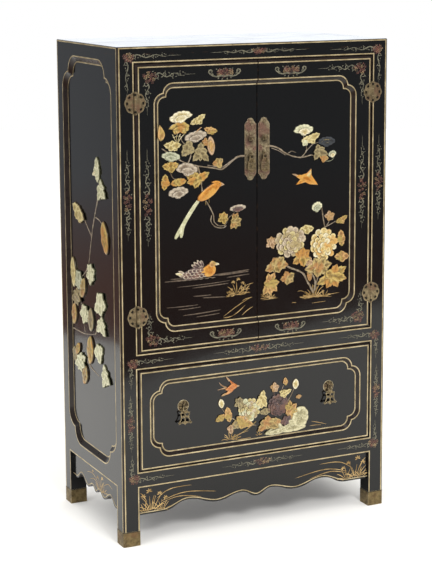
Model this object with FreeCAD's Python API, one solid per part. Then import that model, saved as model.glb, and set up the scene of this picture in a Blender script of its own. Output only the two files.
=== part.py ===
import FreeCAD, Part
import math
import os

Vector = FreeCAD.Vector

# Lacquered cabinet on its own legs: a pair of doors over one deep drawer.
# Millimetres. X runs left to right, Y front to back, Z up from the floor.
# The origin is the middle of the case's footprint.

# ------------------------------------------------------------------ case
case_width = 735.0
case_depth = 405.0
leg_height = 145.5             # floor to the underside of the bottom rails
bottom_rail_height = 41.5
drawer_opening_height = 254.0
middle_rail_height = 41.0
door_opening_height = 697.5
top_rail_height = 22.5
top_board_thickness = 18.0
post_width = 43.0              # across the front
post_depth = 41.0              # along the side
corner_bevel = 3.0             # on the posts' outer corners
top_edge_bevel = 1.5
back_rail_thickness = 18.0
back_top_rail_height = 40.0
side_rail_thickness = 24.0
side_top_rail_height = 19.0
side_bottom_rail_height = 37.5
tenon_length = 16.0
tenon_thickness = 8.0
tenon_shoulder = 5.0
opening_bevel_width = 0.8      # on the edges of the door and drawer openings
opening_bevel_depth = 0.8

# ------------------------------------------------------------------ panels and boards
panel_thickness = 12.0
panel_tongue = 4.0
back_board_thickness = 8.0
back_board_inset = 4.5
board_groove = 6.0
bottom_board_thickness = 10.0
bottom_board_rise = 6.5
divider_thickness = 12.0
ledger_height = 30.0
ledger_depth = 20.0
shelf_thickness = 14.0
shelf_rise = 360.0             # cupboard floor to the shelf's top
shelf_clearance = 0.5
cleat_height = 15.0
cleat_depth = 12.0
door_stop_drop = 17.5
door_stop_depth = 12.0
stop_gap = 0.3

# ------------------------------------------------------------------ side recesses
side_recess_depth = 9.0
side_recess_land = 1.0
side_recess_corner = 40.5
side_recess_wall = 10.0

# ------------------------------------------------------------------ doors
door_thickness = 22.0
door_proud = 3.0
door_side_gap = 2.0
door_meeting_gap = 2.0
door_end_gap = 1.0
door_bevel_width = 5.0
door_bevel_depth = 4.0
door_recess_depth = 6.5
door_field_side = 49.7         # door edge to the recess
door_field_bottom = 48.8
door_field_top = 49.1
door_field_corner = 23.4
door_field_wall = 7.0

# ------------------------------------------------------------------ drawer
drawer_front_thickness = 22.0
drawer_bevel_width = 3.0
drawer_field_side = 30.6
drawer_field_bottom = 31.8
drawer_field_top = 32.4
drawer_field_corner = 24.4
drawer_field_wall = 6.0
drawer_recess_depth = 6.0
drawer_side_thickness = 12.0
drawer_side_inset = 0.5        # drawer front's end to the outer face of its side
drawer_running_gap = 0.3
drawer_side_headroom = 14.5
drawer_rear_gap = 0.5
drawer_back_drop = 6.0
drawer_bottom_thickness = 6.0
drawer_bottom_rise = 9.0
drawer_groove = 5.0
runner_ledge = 20.0
runner_guide_height = 25.0
runner_guide_gap = 1.0

# ------------------------------------------------------------------ aprons
# Each scallop is (share of the half length from the middle outwards, drop below the rail).
apron_setback = 7.5
apron_thickness = 14.0
front_apron_drop = 71.0
front_apron_waves = [(0.0, 69.0), (0.13, 54.0), (0.34, 67.5), (0.585, 50.5), (0.8, front_apron_drop)]
side_apron_drop = 66.0
side_apron_waves = [(0.0, 66.0), (0.14, 55.0), (0.34, 67.0), (0.62, 47.5), (0.83, side_apron_drop)]

# ------------------------------------------------------------------ foot caps
cap_height = 38.0
cap_wall = 1.2
cap_proud = 0.5

# ------------------------------------------------------------------ hinges
hinge_plate_radius = 26.5
hinge_lobes = 8
hinge_lobe_depth = 1.8
hinge_inset = 91.0             # door end to the hinge's middle
hinge_length = 55.0
hinge_knuckles = 3
knuckle_radius = 3.0
knuckle_gap = 0.3
hinge_pin_radius = 1.2
hinge_pin_clearance = 0.05
hinge_pin_tang = 4.0           # squared end of the pin, let into the post's knuckles
hinge_pin_tang_width = 1.6
hinge_axis_forward = 1.0       # in front of the door face
frame_leaf_thickness = 2.0
door_leaf_thickness = 1.5
leaf_clearance = 0.4

# ------------------------------------------------------------------ lock plates and pulls
lock_plate_width = 31.0
lock_plate_height = 152.0
lock_plate_end = 15.0          # height of the shaped end
lock_plate_lobe_width = 17.4   # of the rounded tip
lock_plate_lobe_height = 6.8
lock_plate_lobe_cheek = 6.2    # how far out the tip's round still stands near its point
lock_plate_lobe_brow = 1.8     # and how far below the point that is
lock_plate_thickness = 1.6
lock_plate_inset = 2.0         # meeting edge to the plate
lock_plate_rise = 479.0        # door foot to the plate's middle
lock_post_rise = 26.0          # above the plate's middle
lock_post_reach = 8.0          # plate to the middle of its eye
lock_post_eye_radius = 4.2
lock_post_eye_hole = 1.8
lock_post_width = 3.4
pull_staple_drop = 12.0        # below the plate's middle
staple_reach = 6.5
staple_eye_radius = 3.6
staple_eye_hole = 1.8
staple_width = 2.4
eye_shoulder = 1.5             # how far the foot of an eye stands out past its stem
eye_shoulder_thickness = 1.5
bail_radius = 4.6              # middle of the bail's bar
bail_bar = 2.0
bail_drop = 9.2                # eye to the pendant's top

# Widths of the pendants, and drops below the eye.
door_pull_thickness = 3.4
door_pull_neck_drop = 12.2
door_pull_shoulder_width = 20.2
door_pull_shoulder_drop = 18.9
door_pull_shoulder_hollow = 2.6
door_pull_width = 23.0
door_pull_hip_drop = 37.8
door_pull_length = 45.0
door_pull_chin_width = 13.8
door_pull_chin_rise = 2.2
door_pull_ribs = 4
door_pull_first_rib = 3.0      # below the shoulder
door_pull_rib_spacing = 4.7
door_pull_rib_width = 17.0
door_pull_rib_height = 1.2
drawer_pull_spread = 204.0     # middle of the drawer to each pull
drawer_pull_rise = 150.5       # drawer foot to the rosette's middle
drawer_pull_thickness = 2.6
drawer_pull_neck_drop = 10.7
drawer_pull_shoulder_width = 27.0
drawer_pull_shoulder_drop = 15.6
drawer_pull_waist_width = 22.0
drawer_pull_waist_drop = 26.7
drawer_pull_width = 38.0
drawer_pull_foot_drop = 40.5
drawer_pull_foot_thickness = 3.7
drawer_pull_foot_slope = 3.8   # how much narrower the foot is at its lower edge
drawer_pull_length = 46.0
drawer_pull_arch_width = 15.2  # hollow under the feet
drawer_pull_arch_rise = 4.1
drawer_pull_bar = 2.5          # upright bar between the openings
drawer_pull_rim = 2.7          # brass left beside an opening
drawer_pull_sill = 1.0         # brass left above and below it
rosette_radius = 15.0
rosette_thickness = 3.0
rosette_top_radius = 7.0

# ------------------------------------------------------------------ worked-out levels and faces
bottom_rail_top = leg_height + bottom_rail_height
middle_rail_bottom = bottom_rail_top + drawer_opening_height
middle_rail_top = middle_rail_bottom + middle_rail_height
top_rail_bottom = middle_rail_top + door_opening_height
top_rail_top = top_rail_bottom + top_rail_height
case_height = top_rail_top + top_board_thickness
half_width = case_width / 2
half_depth = case_depth / 2
front_y = -half_depth
back_y = half_depth
inner_x = half_width - post_width
inner_y = half_depth - post_depth
side_opening_bottom = leg_height + side_bottom_rail_height
side_opening_top = top_rail_top - side_top_rail_height
back_opening_top = top_rail_top - back_top_rail_height
front_rail_thickness = door_thickness - door_proud + stop_gap
front_rail_back = front_y + front_rail_thickness
panel_outer_x = half_width - side_recess_depth
panel_inner_x = panel_outer_x - panel_thickness
back_board_front = back_y - back_board_inset - back_board_thickness
door_face = front_y - door_proud
door_edge = inner_x - door_side_gap
door_bottom = middle_rail_top + door_end_gap
door_top = top_rail_bottom - door_end_gap
door_board_face = door_face + door_recess_depth
door_back = door_face + door_thickness
drawer_bottom = bottom_rail_top + door_end_gap
drawer_top = middle_rail_bottom - door_end_gap
drawer_board_face = door_face + drawer_recess_depth
drawer_front_back = door_face + drawer_front_thickness
hinge_x = inner_x - door_side_gap / 2
hinge_y = door_face - hinge_axis_forward
shelf_top = middle_rail_top + shelf_rise
shelf_bottom = shelf_top - shelf_thickness
divider_bottom = middle_rail_top - divider_thickness
bottom_board_top = leg_height + bottom_board_rise + bottom_board_thickness
drawer_side_bottom = bottom_rail_top + drawer_running_gap
drawer_side_top = middle_rail_bottom - drawer_side_headroom
drawer_side_outer = door_edge - drawer_side_inset
drawer_rear = back_board_front - drawer_rear_gap
drawer_panel_bottom = drawer_side_bottom + drawer_bottom_rise
drawer_panel_top = drawer_panel_bottom + drawer_bottom_thickness


# ------------------------------------------------------------------ small makers
def box(x0, x1, y0, y1, z0, z1):
    return Part.makeBox(x1 - x0, y1 - y0, z1 - z0, Vector(x0, y0, z0))


def fused(shapes):
    whole = shapes[0]
    for shape in shapes[1:]:
        whole = whole.fuse(shape)
    return whole.removeSplitter()


def mirrored(shape):
    """The same piece on the other side of the case."""
    return shape.mirror(Vector(0, 0, 0), Vector(1, 0, 0))


def front_to_back(shape):
    return shape.mirror(Vector(0, 0, 0), Vector(0, 1, 0))


def save(name, *solids):
    shape = solids[0] if len(solids) == 1 else Part.makeCompound(list(solids))
    shape.exportStep("parts/" + name + ".step")


def on_front(depth_plane):
    """Maps outline points to an upright plane across the case at that Y."""
    return lambda u, w: Vector(u, depth_plane, w)


def on_left_side(depth_plane):
    """Maps outline points to an upright plane along the side at that X."""
    return lambda u, w: Vector(depth_plane, u, w)


def rectangle_wire(at, left, right, bottom, top):
    corners = [at(left, bottom), at(right, bottom), at(right, top), at(left, top)]
    return Part.makePolygon(corners + corners[:1])


def cusped_corner(at, corner, inward, radius):
    """Two quarter rounds that meet in an inward cusp, from the level edge to the upright one."""
    (u, w), (du, dw) = corner, inward
    bulge = radius / math.sqrt(2)
    level = (u + 2 * radius * du, w)
    cusp = (u + radius * du, w + radius * dw)
    upright = (u, w + 2 * radius * dw)
    first = (level[0] - bulge * du, cusp[1] - bulge * dw)
    second = (cusp[0] - bulge * du, upright[1] - bulge * dw)
    arcs = [Part.Arc(at(*level), at(*first), at(*cusp)), Part.Arc(at(*cusp), at(*second), at(*upright))]
    return level, upright, [arc.toShape() for arc in arcs]


def cusped_wire(at, left, right, bottom, top, radius):
    """Closed rectangular outline with cusped corners."""
    level_rt, upright_rt, arcs_rt = cusped_corner(at, (right, top), (-1, -1), radius)
    level_rb, upright_rb, arcs_rb = cusped_corner(at, (right, bottom), (-1, 1), radius)
    level_lb, upright_lb, arcs_lb = cusped_corner(at, (left, bottom), (1, 1), radius)
    level_lt, upright_lt, arcs_lt = cusped_corner(at, (left, top), (1, -1), radius)
    edges = [Part.makeLine(at(*level_lt), at(*level_rt))] + arcs_rt
    edges += [Part.makeLine(at(*upright_rt), at(*upright_rb))] + arcs_rb[::-1]
    edges += [Part.makeLine(at(*level_rb), at(*level_lb))] + arcs_lb
    edges += [Part.makeLine(at(*upright_lb), at(*upright_lt))] + arcs_lt[::-1]
    return Part.Wire(Part.__sortEdges__(edges))


def cusped_recess(face_at, floor_at, outline, radius, wall):
    """The hollow of a sunk field: its sloping wall runs in by `wall` from face to floor."""
    left, right, bottom, top = outline
    inner_radius = radius - wall * (1 - 1 / math.sqrt(2))
    mouth = cusped_wire(face_at, left, right, bottom, top, radius)
    floor = cusped_wire(floor_at, left + wall, right - wall, bottom + wall, top - wall, inner_radius)
    return Part.makeLoft([mouth, floor], True, True)


def bevelled_slab(outline, face, back, bevel_width, bevel_depth):
    """A front whose outer edges are planed off all round."""
    left, right, bottom, top = outline
    inset = rectangle_wire(on_front(face), left + bevel_width, right - bevel_width,
                           bottom + bevel_width, top - bevel_width)
    shoulder = rectangle_wire(on_front(face + bevel_depth), left, right, bottom, top)
    rear = rectangle_wire(on_front(back), left, right, bottom, top)
    return Part.makeLoft([inset, shoulder, rear], True, True)


def opening_bevel(bottom, top):
    """The planed edge round an opening of the front frame."""
    wide = opening_bevel_width
    mouth = rectangle_wire(on_front(front_y), -inner_x - wide, inner_x + wide, bottom - wide, top + wide)
    floor = rectangle_wire(on_front(front_y + opening_bevel_depth), -inner_x, inner_x, bottom, top)
    return Part.makeLoft([mouth, floor], True, True)


# ------------------------------------------------------------------ posts, rails and feet
def post_section(grow, z):
    """Plan of the front left post, grown all round, with its outer corner planed off."""
    outer_x = -half_width - grow
    outer_y = front_y - grow
    near_x = -inner_x + grow
    near_y = -inner_y + grow
    points = [(outer_x + corner_bevel, outer_y), (near_x, outer_y), (near_x, near_y),
              (outer_x, near_y), (outer_x, outer_y + corner_bevel)]
    corners = [Vector(x, y, z) for x, y in points]
    return Part.Face(Part.makePolygon(corners + corners[:1]))


def left_post_blank():
    """Front left post with its foot thinned where the brass cap goes on."""
    shank = post_section(0, cap_height).extrude(Vector(0, 0, top_rail_top - cap_height))
    foot = post_section(cap_proud - cap_wall, cap_wall).extrude(Vector(0, 0, cap_height - cap_wall))
    return shank.fuse(foot).removeSplitter()


def foot_cap():
    sleeve = post_section(cap_proud, 0).extrude(Vector(0, 0, cap_height))
    hollow = post_section(cap_proud - cap_wall, cap_wall).extrude(Vector(0, 0, cap_height))
    return sleeve.cut(hollow)


def four_corners(front_left):
    """One piece at each corner: front left, front right, back left, back right."""
    back_left = front_to_back(front_left)
    return [front_left, mirrored(front_left), back_left, mirrored(back_left)]


def cross_rail(y0, y1, z0, z1):
    """Rail across the case, with a tenon into the post at each end."""
    middle = (y0 + y1) / 2
    reach = inner_x + tenon_length
    rail = box(-inner_x, inner_x, y0, y1, z0, z1)
    tenon = box(-reach, reach, middle - tenon_thickness / 2, middle + tenon_thickness / 2,
                z0 + tenon_shoulder, z1 - tenon_shoulder)
    return rail.fuse(tenon).removeSplitter()


def left_side_rail(z0, z1):
    x0 = -half_width
    x1 = x0 + side_rail_thickness
    middle = (x0 + x1) / 2
    reach = inner_y + tenon_length
    rail = box(x0, x1, -inner_y, inner_y, z0, z1)
    tenon = box(middle - tenon_thickness / 2, middle + tenon_thickness / 2, -reach, reach,
                z0 + tenon_shoulder, z1 - tenon_shoulder)
    return rail.fuse(tenon).removeSplitter()


def left_side_panel():
    reach = inner_y + panel_tongue
    return box(-panel_outer_x, -panel_inner_x, -reach, reach,
               side_opening_bottom - panel_tongue, side_opening_top + panel_tongue)


def back_panel():
    reach = inner_x + panel_tongue
    return box(-reach, reach, back_board_front, back_board_front + back_board_thickness,
               bottom_rail_top - panel_tongue, back_opening_top + panel_tongue)


def left_side_moulding():
    """Head, foot and two stiles that frame the sunk field of the side."""
    slab = box(-half_width, -panel_outer_x, -inner_y, inner_y, side_opening_bottom, side_opening_top)
    land = side_recess_land
    outline = (-inner_y + land, inner_y - land, side_opening_bottom + land, side_opening_top - land)
    hollow = cusped_recess(on_left_side(-half_width), on_left_side(-panel_outer_x), outline,
                           side_recess_corner, side_recess_wall)
    corner_reach = land + 2 * side_recess_corner + side_recess_wall
    return moulding_lengths(slab.cut(hollow), side_opening_bottom + corner_reach,
                            side_opening_top - corner_reach)


def moulding_lengths(ring, lower, upper):
    """Cuts a moulding into the lengths it is made of: foot, stiles and head."""
    reach = case_width
    foot = ring.common(box(-reach, reach, -reach, reach, 0, lower))
    stiles = ring.common(box(-reach, reach, -reach, reach, lower, upper))
    head = ring.common(box(-reach, reach, -reach, reach, upper, case_height))
    return foot.Solids + stiles.Solids + head.Solids


# ------------------------------------------------------------------ boards inside the case
def notched_for_posts(board, posts):
    return board.cut(Part.makeCompound(posts))


def divider_board(posts):
    board = box(-panel_inner_x, panel_inner_x, front_rail_back - board_groove, back_board_front,
                divider_bottom, middle_rail_top)
    return notched_for_posts(board, posts)


def bottom_board(posts):
    reach = half_width - side_rail_thickness + board_groove
    board = box(-reach, reach, front_rail_back - board_groove, back_y - back_rail_thickness + board_groove,
                leg_height + bottom_board_rise, bottom_board_top)
    return notched_for_posts(board, posts)


def shelf(posts):
    reach = panel_inner_x - shelf_clearance
    board = box(-reach, reach, -inner_y, back_board_front - shelf_clearance, shelf_bottom, shelf_top)
    gap = shelf_clearance
    for post in posts[2:]:
        near = post.BoundBox
        board = board.cut(box(near.XMin - gap, near.XMax + gap, near.YMin - gap, near.YMax,
                              shelf_bottom, shelf_top))
    return board


def left_shelf_cleat():
    return box(-panel_inner_x, -panel_inner_x + cleat_depth, -inner_y, inner_y,
               shelf_bottom - cleat_height, shelf_bottom)


def left_runner():
    """Ledge that the drawer runs on, and the guide beside it between the posts."""
    ledge = box(-inner_x, -inner_x + runner_ledge, front_rail_back, back_y - back_rail_thickness,
                bottom_board_top, bottom_rail_top)
    guide = box(-half_width + side_rail_thickness, -drawer_side_outer - runner_guide_gap, -inner_y, inner_y,
                bottom_board_top, bottom_rail_top + runner_guide_height)
    return ledge.fuse(guide).removeSplitter()


# ------------------------------------------------------------------ aprons
def wave_edge(at, points):
    """Scallops through the points, level at each: two equal rounds make each rise or fall."""
    edges = []
    for (u0, w0), (u1, w1) in zip(points, points[1:]):
        run, rise = u1 - u0, w1 - w0
        radius = (run ** 2 + rise ** 2) / (4 * abs(rise))
        half_turn = math.atan2(abs(rise), run)
        step = radius * math.sin(half_turn)
        lift = math.copysign(radius * (1 - math.cos(half_turn)), rise)
        middle = ((u0 + u1) / 2, (w0 + w1) / 2)
        edges.append(Part.Arc(at(u0, w0), at(u0 + step, w0 + lift), at(*middle)).toShape())
        edges.append(Part.Arc(at(*middle), at(u1 - step, w1 - lift), at(u1, w1)).toShape())
    return edges


def apron_face(at, half_length, flat, waves):
    """Apron outline: flat ends, then scallops that meet in a point at the middle."""
    end = leg_height - flat
    right = [(half_length * u, leg_height - drop) for u, drop in waves]
    left = [(-u, w) for u, w in right[::-1]]
    edges = wave_edge(at, left) + wave_edge(at, right)
    tips = [at(-half_length, leg_height), at(-half_length, end), at(*left[0])]
    edges.insert(0, Part.makeLine(tips[1], tips[2]))
    edges.insert(0, Part.makeLine(tips[0], tips[1]))
    edges.append(Part.makeLine(at(*right[-1]), at(half_length, end)))
    edges.append(Part.makeLine(at(half_length, end), at(half_length, leg_height)))
    edges.append(Part.makeLine(at(half_length, leg_height), tips[0]))
    return Part.Face(Part.Wire(edges))


def front_apron():
    face_y = front_y + apron_setback
    face = apron_face(on_front(face_y), inner_x, front_apron_drop, front_apron_waves)
    return face.extrude(Vector(0, apron_thickness, 0))


def left_apron():
    face_x = -half_width + apron_setback
    face = apron_face(on_left_side(face_x), inner_y, side_apron_drop, side_apron_waves)
    return face.extrude(Vector(apron_thickness, 0, 0))


# ------------------------------------------------------------------ doors and drawer front
def fielded_front(outline, margins, corner, wall, bevel_width, board_face):
    """The raised border of a front, round a sunk field with cusped corners."""
    left, right, bottom, top = outline
    side, low, high = margins
    slab = bevelled_slab(outline, door_face, board_face, bevel_width, door_bevel_depth)
    field = (left + side, right - side, bottom + low, top - high)
    border = slab.cut(cusped_recess(on_front(door_face), on_front(board_face), field, corner, wall))
    return moulding_lengths(border, field[2] + 2 * corner + wall, field[3] - 2 * corner - wall)


def pair_border():
    """Border of the two doors, which share one sunk field."""
    margins = (door_field_side, door_field_bottom, door_field_top)
    return fielded_front((-door_edge, door_edge, door_bottom, door_top), margins, door_field_corner,
                         door_field_wall, door_bevel_width, door_board_face)


def left_door_border():
    half = box(-case_width, -door_meeting_gap / 2, -case_width, case_width, 0, case_height)
    return [solid for length in pair_border() for solid in length.common(half).Solids]


def left_door_board():
    return box(-door_edge, -door_meeting_gap / 2, door_board_face, door_back, door_bottom, door_top)


def drawer_border():
    margins = (drawer_field_side, drawer_field_bottom, drawer_field_top)
    return fielded_front((-door_edge, door_edge, drawer_bottom, drawer_top), margins,
                         drawer_field_corner, drawer_field_wall, drawer_bevel_width, drawer_board_face)


# ------------------------------------------------------------------ drawer box
def drawer_bottom_panel():
    reach = drawer_side_outer - drawer_side_thickness + drawer_groove
    return box(-reach, reach, drawer_front_back - drawer_groove, drawer_rear,
               drawer_panel_bottom, drawer_panel_top)


def left_drawer_side(panel):
    side = box(-drawer_side_outer, -drawer_side_outer + drawer_side_thickness, drawer_front_back,
               drawer_rear, drawer_side_bottom, drawer_side_top)
    return side.cut(panel)


def drawer_back():
    reach = drawer_side_outer - drawer_side_thickness
    return box(-reach, reach, drawer_rear - drawer_side_thickness, drawer_rear,
               drawer_panel_top, drawer_side_top - drawer_back_drop)


def drawer_front_board(panel):
    board = box(-door_edge, door_edge, drawer_board_face, drawer_front_back, drawer_bottom, drawer_top)
    return board.cut(panel)


# ------------------------------------------------------------------ hinges
def lobed_plate(centre_z, front, back):
    """Round plate with a scalloped rim, centred on the hinge line."""
    valley = hinge_plate_radius - hinge_lobe_depth
    step = 2 * math.pi / hinge_lobes
    arcs = []
    for lobe in range(hinge_lobes):
        turns = [(lobe - 0.5) * step, lobe * step, (lobe + 0.5) * step]
        reach = [valley, hinge_plate_radius, valley]
        points = [Vector(-hinge_x + r * math.cos(t), back, centre_z + r * math.sin(t))
                  for r, t in zip(reach, turns)]
        arcs.append(Part.Arc(*points).toShape())
    return Part.Face(Part.Wire(arcs)).extrude(Vector(0, front - back, 0))


def upright_pin(radius, z0, z1):
    return Part.makeCylinder(radius, z1 - z0, Vector(-hinge_x, hinge_y, z0), Vector(0, 0, 1))


def knuckle_span(centre_z, index):
    pitch = hinge_length / hinge_knuckles
    start = centre_z - hinge_length / 2 + index * pitch
    return start + knuckle_gap / 2, start + pitch - knuckle_gap / 2


def hinge_leaf(centre_z, own, other, side, front, back):
    """One leaf: half a lobed plate, its own knuckles, and room for the other leaf's."""
    reach = hinge_plate_radius
    limit = sorted([-hinge_x, -hinge_x + side * reach])
    leaf = lobed_plate(centre_z, front, back)
    leaf = leaf.common(box(limit[0], limit[1], back - reach, back + reach,
                           centre_z - reach, centre_z + reach))
    throat = sorted([-hinge_x, -hinge_x + side * (knuckle_radius + leaf_clearance)])
    for index in other:
        z0, z1 = knuckle_span(centre_z, index)
        leaf = leaf.cut(box(throat[0], throat[1], back - reach, back + reach,
                            z0 - knuckle_gap, z1 + knuckle_gap))
    knuckles = [upright_pin(knuckle_radius, *knuckle_span(centre_z, index)) for index in own]
    return fused([leaf] + knuckles)


def squared_pin(z0, z1):
    """Hinge pin: round where the door turns on it, squared where the post's knuckles hold it."""
    half = hinge_pin_tang_width / 2
    tangs = box(-hinge_x - half, -hinge_x + half, hinge_y - half, hinge_y + half,
                z0 - hinge_pin_tang, z1 + hinge_pin_tang)
    return upright_pin(hinge_pin_radius, z0, z1).fuse(tangs).removeSplitter()


def left_hinge(centre_z):
    """Leaf on the post, leaf on the door, and the pin they share."""
    even = range(0, hinge_knuckles, 2)
    odd = range(1, hinge_knuckles, 2)
    low = knuckle_span(centre_z, 0)[1]
    high = knuckle_span(centre_z, hinge_knuckles - 1)[0]
    pin = squared_pin(low, high)
    bore = upright_pin(hinge_pin_radius + hinge_pin_clearance, low, high)
    frame_leaf = hinge_leaf(centre_z, even, odd, -1, front_y - frame_leaf_thickness, front_y)
    door_leaf = hinge_leaf(centre_z, odd, even, 1, door_face - door_leaf_thickness, door_face)
    return frame_leaf.cut(pin), door_leaf.cut(bore), pin


# ------------------------------------------------------------------ lock plates and pulls
def lock_plate(centre_x, centre_z):
    """Long plate whose ends are cut back to a rounded tip."""
    half = lock_plate_width / 2
    top = lock_plate_height / 2
    shoulder = top - lock_plate_end
    notch = (lock_plate_lobe_width / 2, top - lock_plate_lobe_height)
    cheek = (lock_plate_lobe_cheek, top - lock_plate_lobe_brow)
    edges = []
    for side in (1, -1):
        for end in (1, -1):
            def at(u, w):
                return Vector(centre_x + side * u, door_board_face, centre_z + end * w)
            edges.append(Part.makeLine(at(half, 0), at(half, shoulder)))
            edges.append(Part.makeLine(at(half, shoulder), at(*notch)))
            edges.append(Part.Arc(at(*notch), at(*cheek), at(0, top)).toShape())
    face = Part.Face(Part.Wire(Part.__sortEdges__(edges)))
    return face.extrude(Vector(0, -lock_plate_thickness, 0))


def eye_bolt(centre_x, base_y, centre_z, reach, eye, hole, width):
    """Flat bar on a square shoulder that ends in a round eye, bored across."""
    eye_y = base_y - reach
    side = centre_x - width / 2
    across = Vector(1, 0, 0)
    wide = width / 2 + eye_shoulder
    high = eye + eye_shoulder
    shoulder = box(centre_x - wide, centre_x + wide, base_y - eye_shoulder_thickness, base_y,
                   centre_z - high, centre_z + high)
    bar = box(side, side + width, eye_y, base_y, centre_z - eye, centre_z + eye)
    head = Part.makeCylinder(eye, width, Vector(side, eye_y, centre_z), across)
    bore = Part.makeCylinder(hole, width, Vector(side, eye_y, centre_z), across)
    return fused([shoulder, bar, head]).cut(bore)


def lock_post(centre_x, base_y, centre_z):
    """Takes the bar of a padlock through its eye."""
    return eye_bolt(centre_x, base_y, centre_z, lock_post_reach, lock_post_eye_radius,
                    lock_post_eye_hole, lock_post_width)


def staple(centre_x, base_y, centre_z):
    """Carries a pull in its eye."""
    return eye_bolt(centre_x, base_y, centre_z, staple_reach, staple_eye_radius,
                    staple_eye_hole, staple_width)


def pendant_plane(centre_x, back, eye_z):
    """Maps a pendant's half width and level to its back plane."""
    return lambda u, w: Vector(centre_x + u, back, eye_z + w)


def bail(centre_x, eye_y, eye_z):
    """Square-edged bail whose round top lies in the staple's eye."""
    at = pendant_plane(centre_x, eye_y + bail_bar / 2, eye_z)

    def arch(radius):
        crown = Part.Arc(at(-radius, -bail_radius), at(0, radius - bail_radius), at(radius, -bail_radius))
        legs = Part.makePolygon([at(radius, -bail_radius), at(radius, -bail_drop),
                                 at(-radius, -bail_drop), at(-radius, -bail_radius)])
        face = Part.Face(Part.Wire([crown.toShape()] + legs.Edges))
        return face.extrude(Vector(0, -bail_bar, 0))

    return arch(bail_radius + bail_bar / 2).cut(arch(bail_radius - bail_bar / 2))


def pendant(at, half_points, thickness):
    """Flat drop from the right-hand half of its outline: lines, or arcs where three points are given."""
    edges = []
    for side in (1, -1):
        for run in half_points:
            points = [at(side * u, -drop) for u, drop in run]
            edge = Part.Arc(*points).toShape() if len(points) == 3 else Part.makeLine(*points)
            edges.append(edge)
    u, drop = half_points[0][0]
    edges.append(Part.makeLine(at(u, -drop), at(-u, -drop)))
    face = Part.Face(Part.Wire(Part.__sortEdges__(edges)))
    return face.extrude(Vector(0, -thickness, 0))


def ridge(centre_x, half_length, face_y, z):
    """Level rib of three-cornered section on the face of a drop."""
    high = door_pull_rib_height
    start = centre_x - half_length
    section = [(face_y, z + high), (face_y, z - high), (face_y - high, z)]
    corners = [Vector(start, y, level) for y, level in section]
    face = Part.Face(Part.makePolygon(corners + corners[:1]))
    return face.extrude(Vector(2 * half_length, 0, 0))


def door_pull(centre_x, base_y, eye_z):
    """Ribbed drop of cast brass below its bail."""
    eye_y = base_y - staple_reach
    neck = bail_radius + bail_bar / 2
    shoulder = door_pull_shoulder_width / 2
    hip = door_pull_width / 2
    back = eye_y + door_pull_thickness / 2
    at = pendant_plane(centre_x, back, eye_z)
    hollow = ((neck + shoulder) / 2, door_pull_shoulder_drop - door_pull_shoulder_hollow)
    chin = (door_pull_chin_width / 2, door_pull_length - door_pull_chin_rise)
    runs = [[(neck, bail_drop), (neck, door_pull_neck_drop)],
            [(neck, door_pull_neck_drop), hollow, (shoulder, door_pull_shoulder_drop)],
            [(shoulder, door_pull_shoulder_drop), (hip, door_pull_hip_drop)],
            [(hip, door_pull_hip_drop), chin, (0, door_pull_length)]]
    pieces = [pendant(at, runs, door_pull_thickness), bail(centre_x, eye_y, eye_z)]
    for rib in range(door_pull_ribs):
        drop = door_pull_shoulder_drop + door_pull_first_rib + rib * door_pull_rib_spacing
        pieces.append(ridge(centre_x, door_pull_rib_width / 2, back - door_pull_thickness, eye_z - drop))
    return fused(pieces)


def drawer_pull(centre_x, base_y, eye_z):
    """Openwork drop with spread feet below its bail."""
    eye_y = base_y - staple_reach
    at = pendant_plane(centre_x, eye_y + drawer_pull_thickness / 2, eye_z)
    neck = (bail_radius + bail_bar / 2, drawer_pull_neck_drop)
    shoulder = (drawer_pull_shoulder_width / 2, drawer_pull_shoulder_drop)
    waist = (drawer_pull_waist_width / 2, drawer_pull_waist_drop)
    foot = (drawer_pull_width / 2, drawer_pull_foot_drop)
    heel = (foot[0] - drawer_pull_foot_slope, foot[1] + drawer_pull_foot_thickness)
    arch = (drawer_pull_arch_width / 2, drawer_pull_length - drawer_pull_arch_rise)
    runs = [[(neck[0], bail_drop), neck], [neck, shoulder], [shoulder, waist, foot], [foot, heel],
            [heel, arch, (0, drawer_pull_length)]]
    drop = pendant(at, runs, drawer_pull_thickness)

    near = drawer_pull_bar / 2
    rim = drawer_pull_rim
    sill = drawer_pull_sill
    inner_waist = waist[0] - rim
    upper = [(near, shoulder[1] + sill), (shoulder[0] - rim, shoulder[1] + sill),
             (inner_waist, waist[1] - rim), (near, waist[1] - rim - sill)]
    lower = [(near, waist[1] + sill), (inner_waist, waist[1] + sill),
             (foot[0] - 2 * rim, foot[1] - sill), (near, foot[1] - rim - sill)]
    for window in (upper, lower):
        for side in (1, -1):
            corners = [at(side * u, -below) for u, below in window]
            opening = Part.Face(Part.makePolygon(corners + corners[:1]))
            drop = drop.cut(opening.extrude(Vector(0, -drawer_pull_thickness, 0)))
    return fused([drop, bail(centre_x, eye_y, eye_z)])


def rosette(centre_x, base_y, centre_z):
    """Round back plate with a raised middle."""
    return Part.makeCone(rosette_radius, rosette_top_radius, rosette_thickness,
                         Vector(centre_x, base_y, centre_z), Vector(0, -1, 0))


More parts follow.
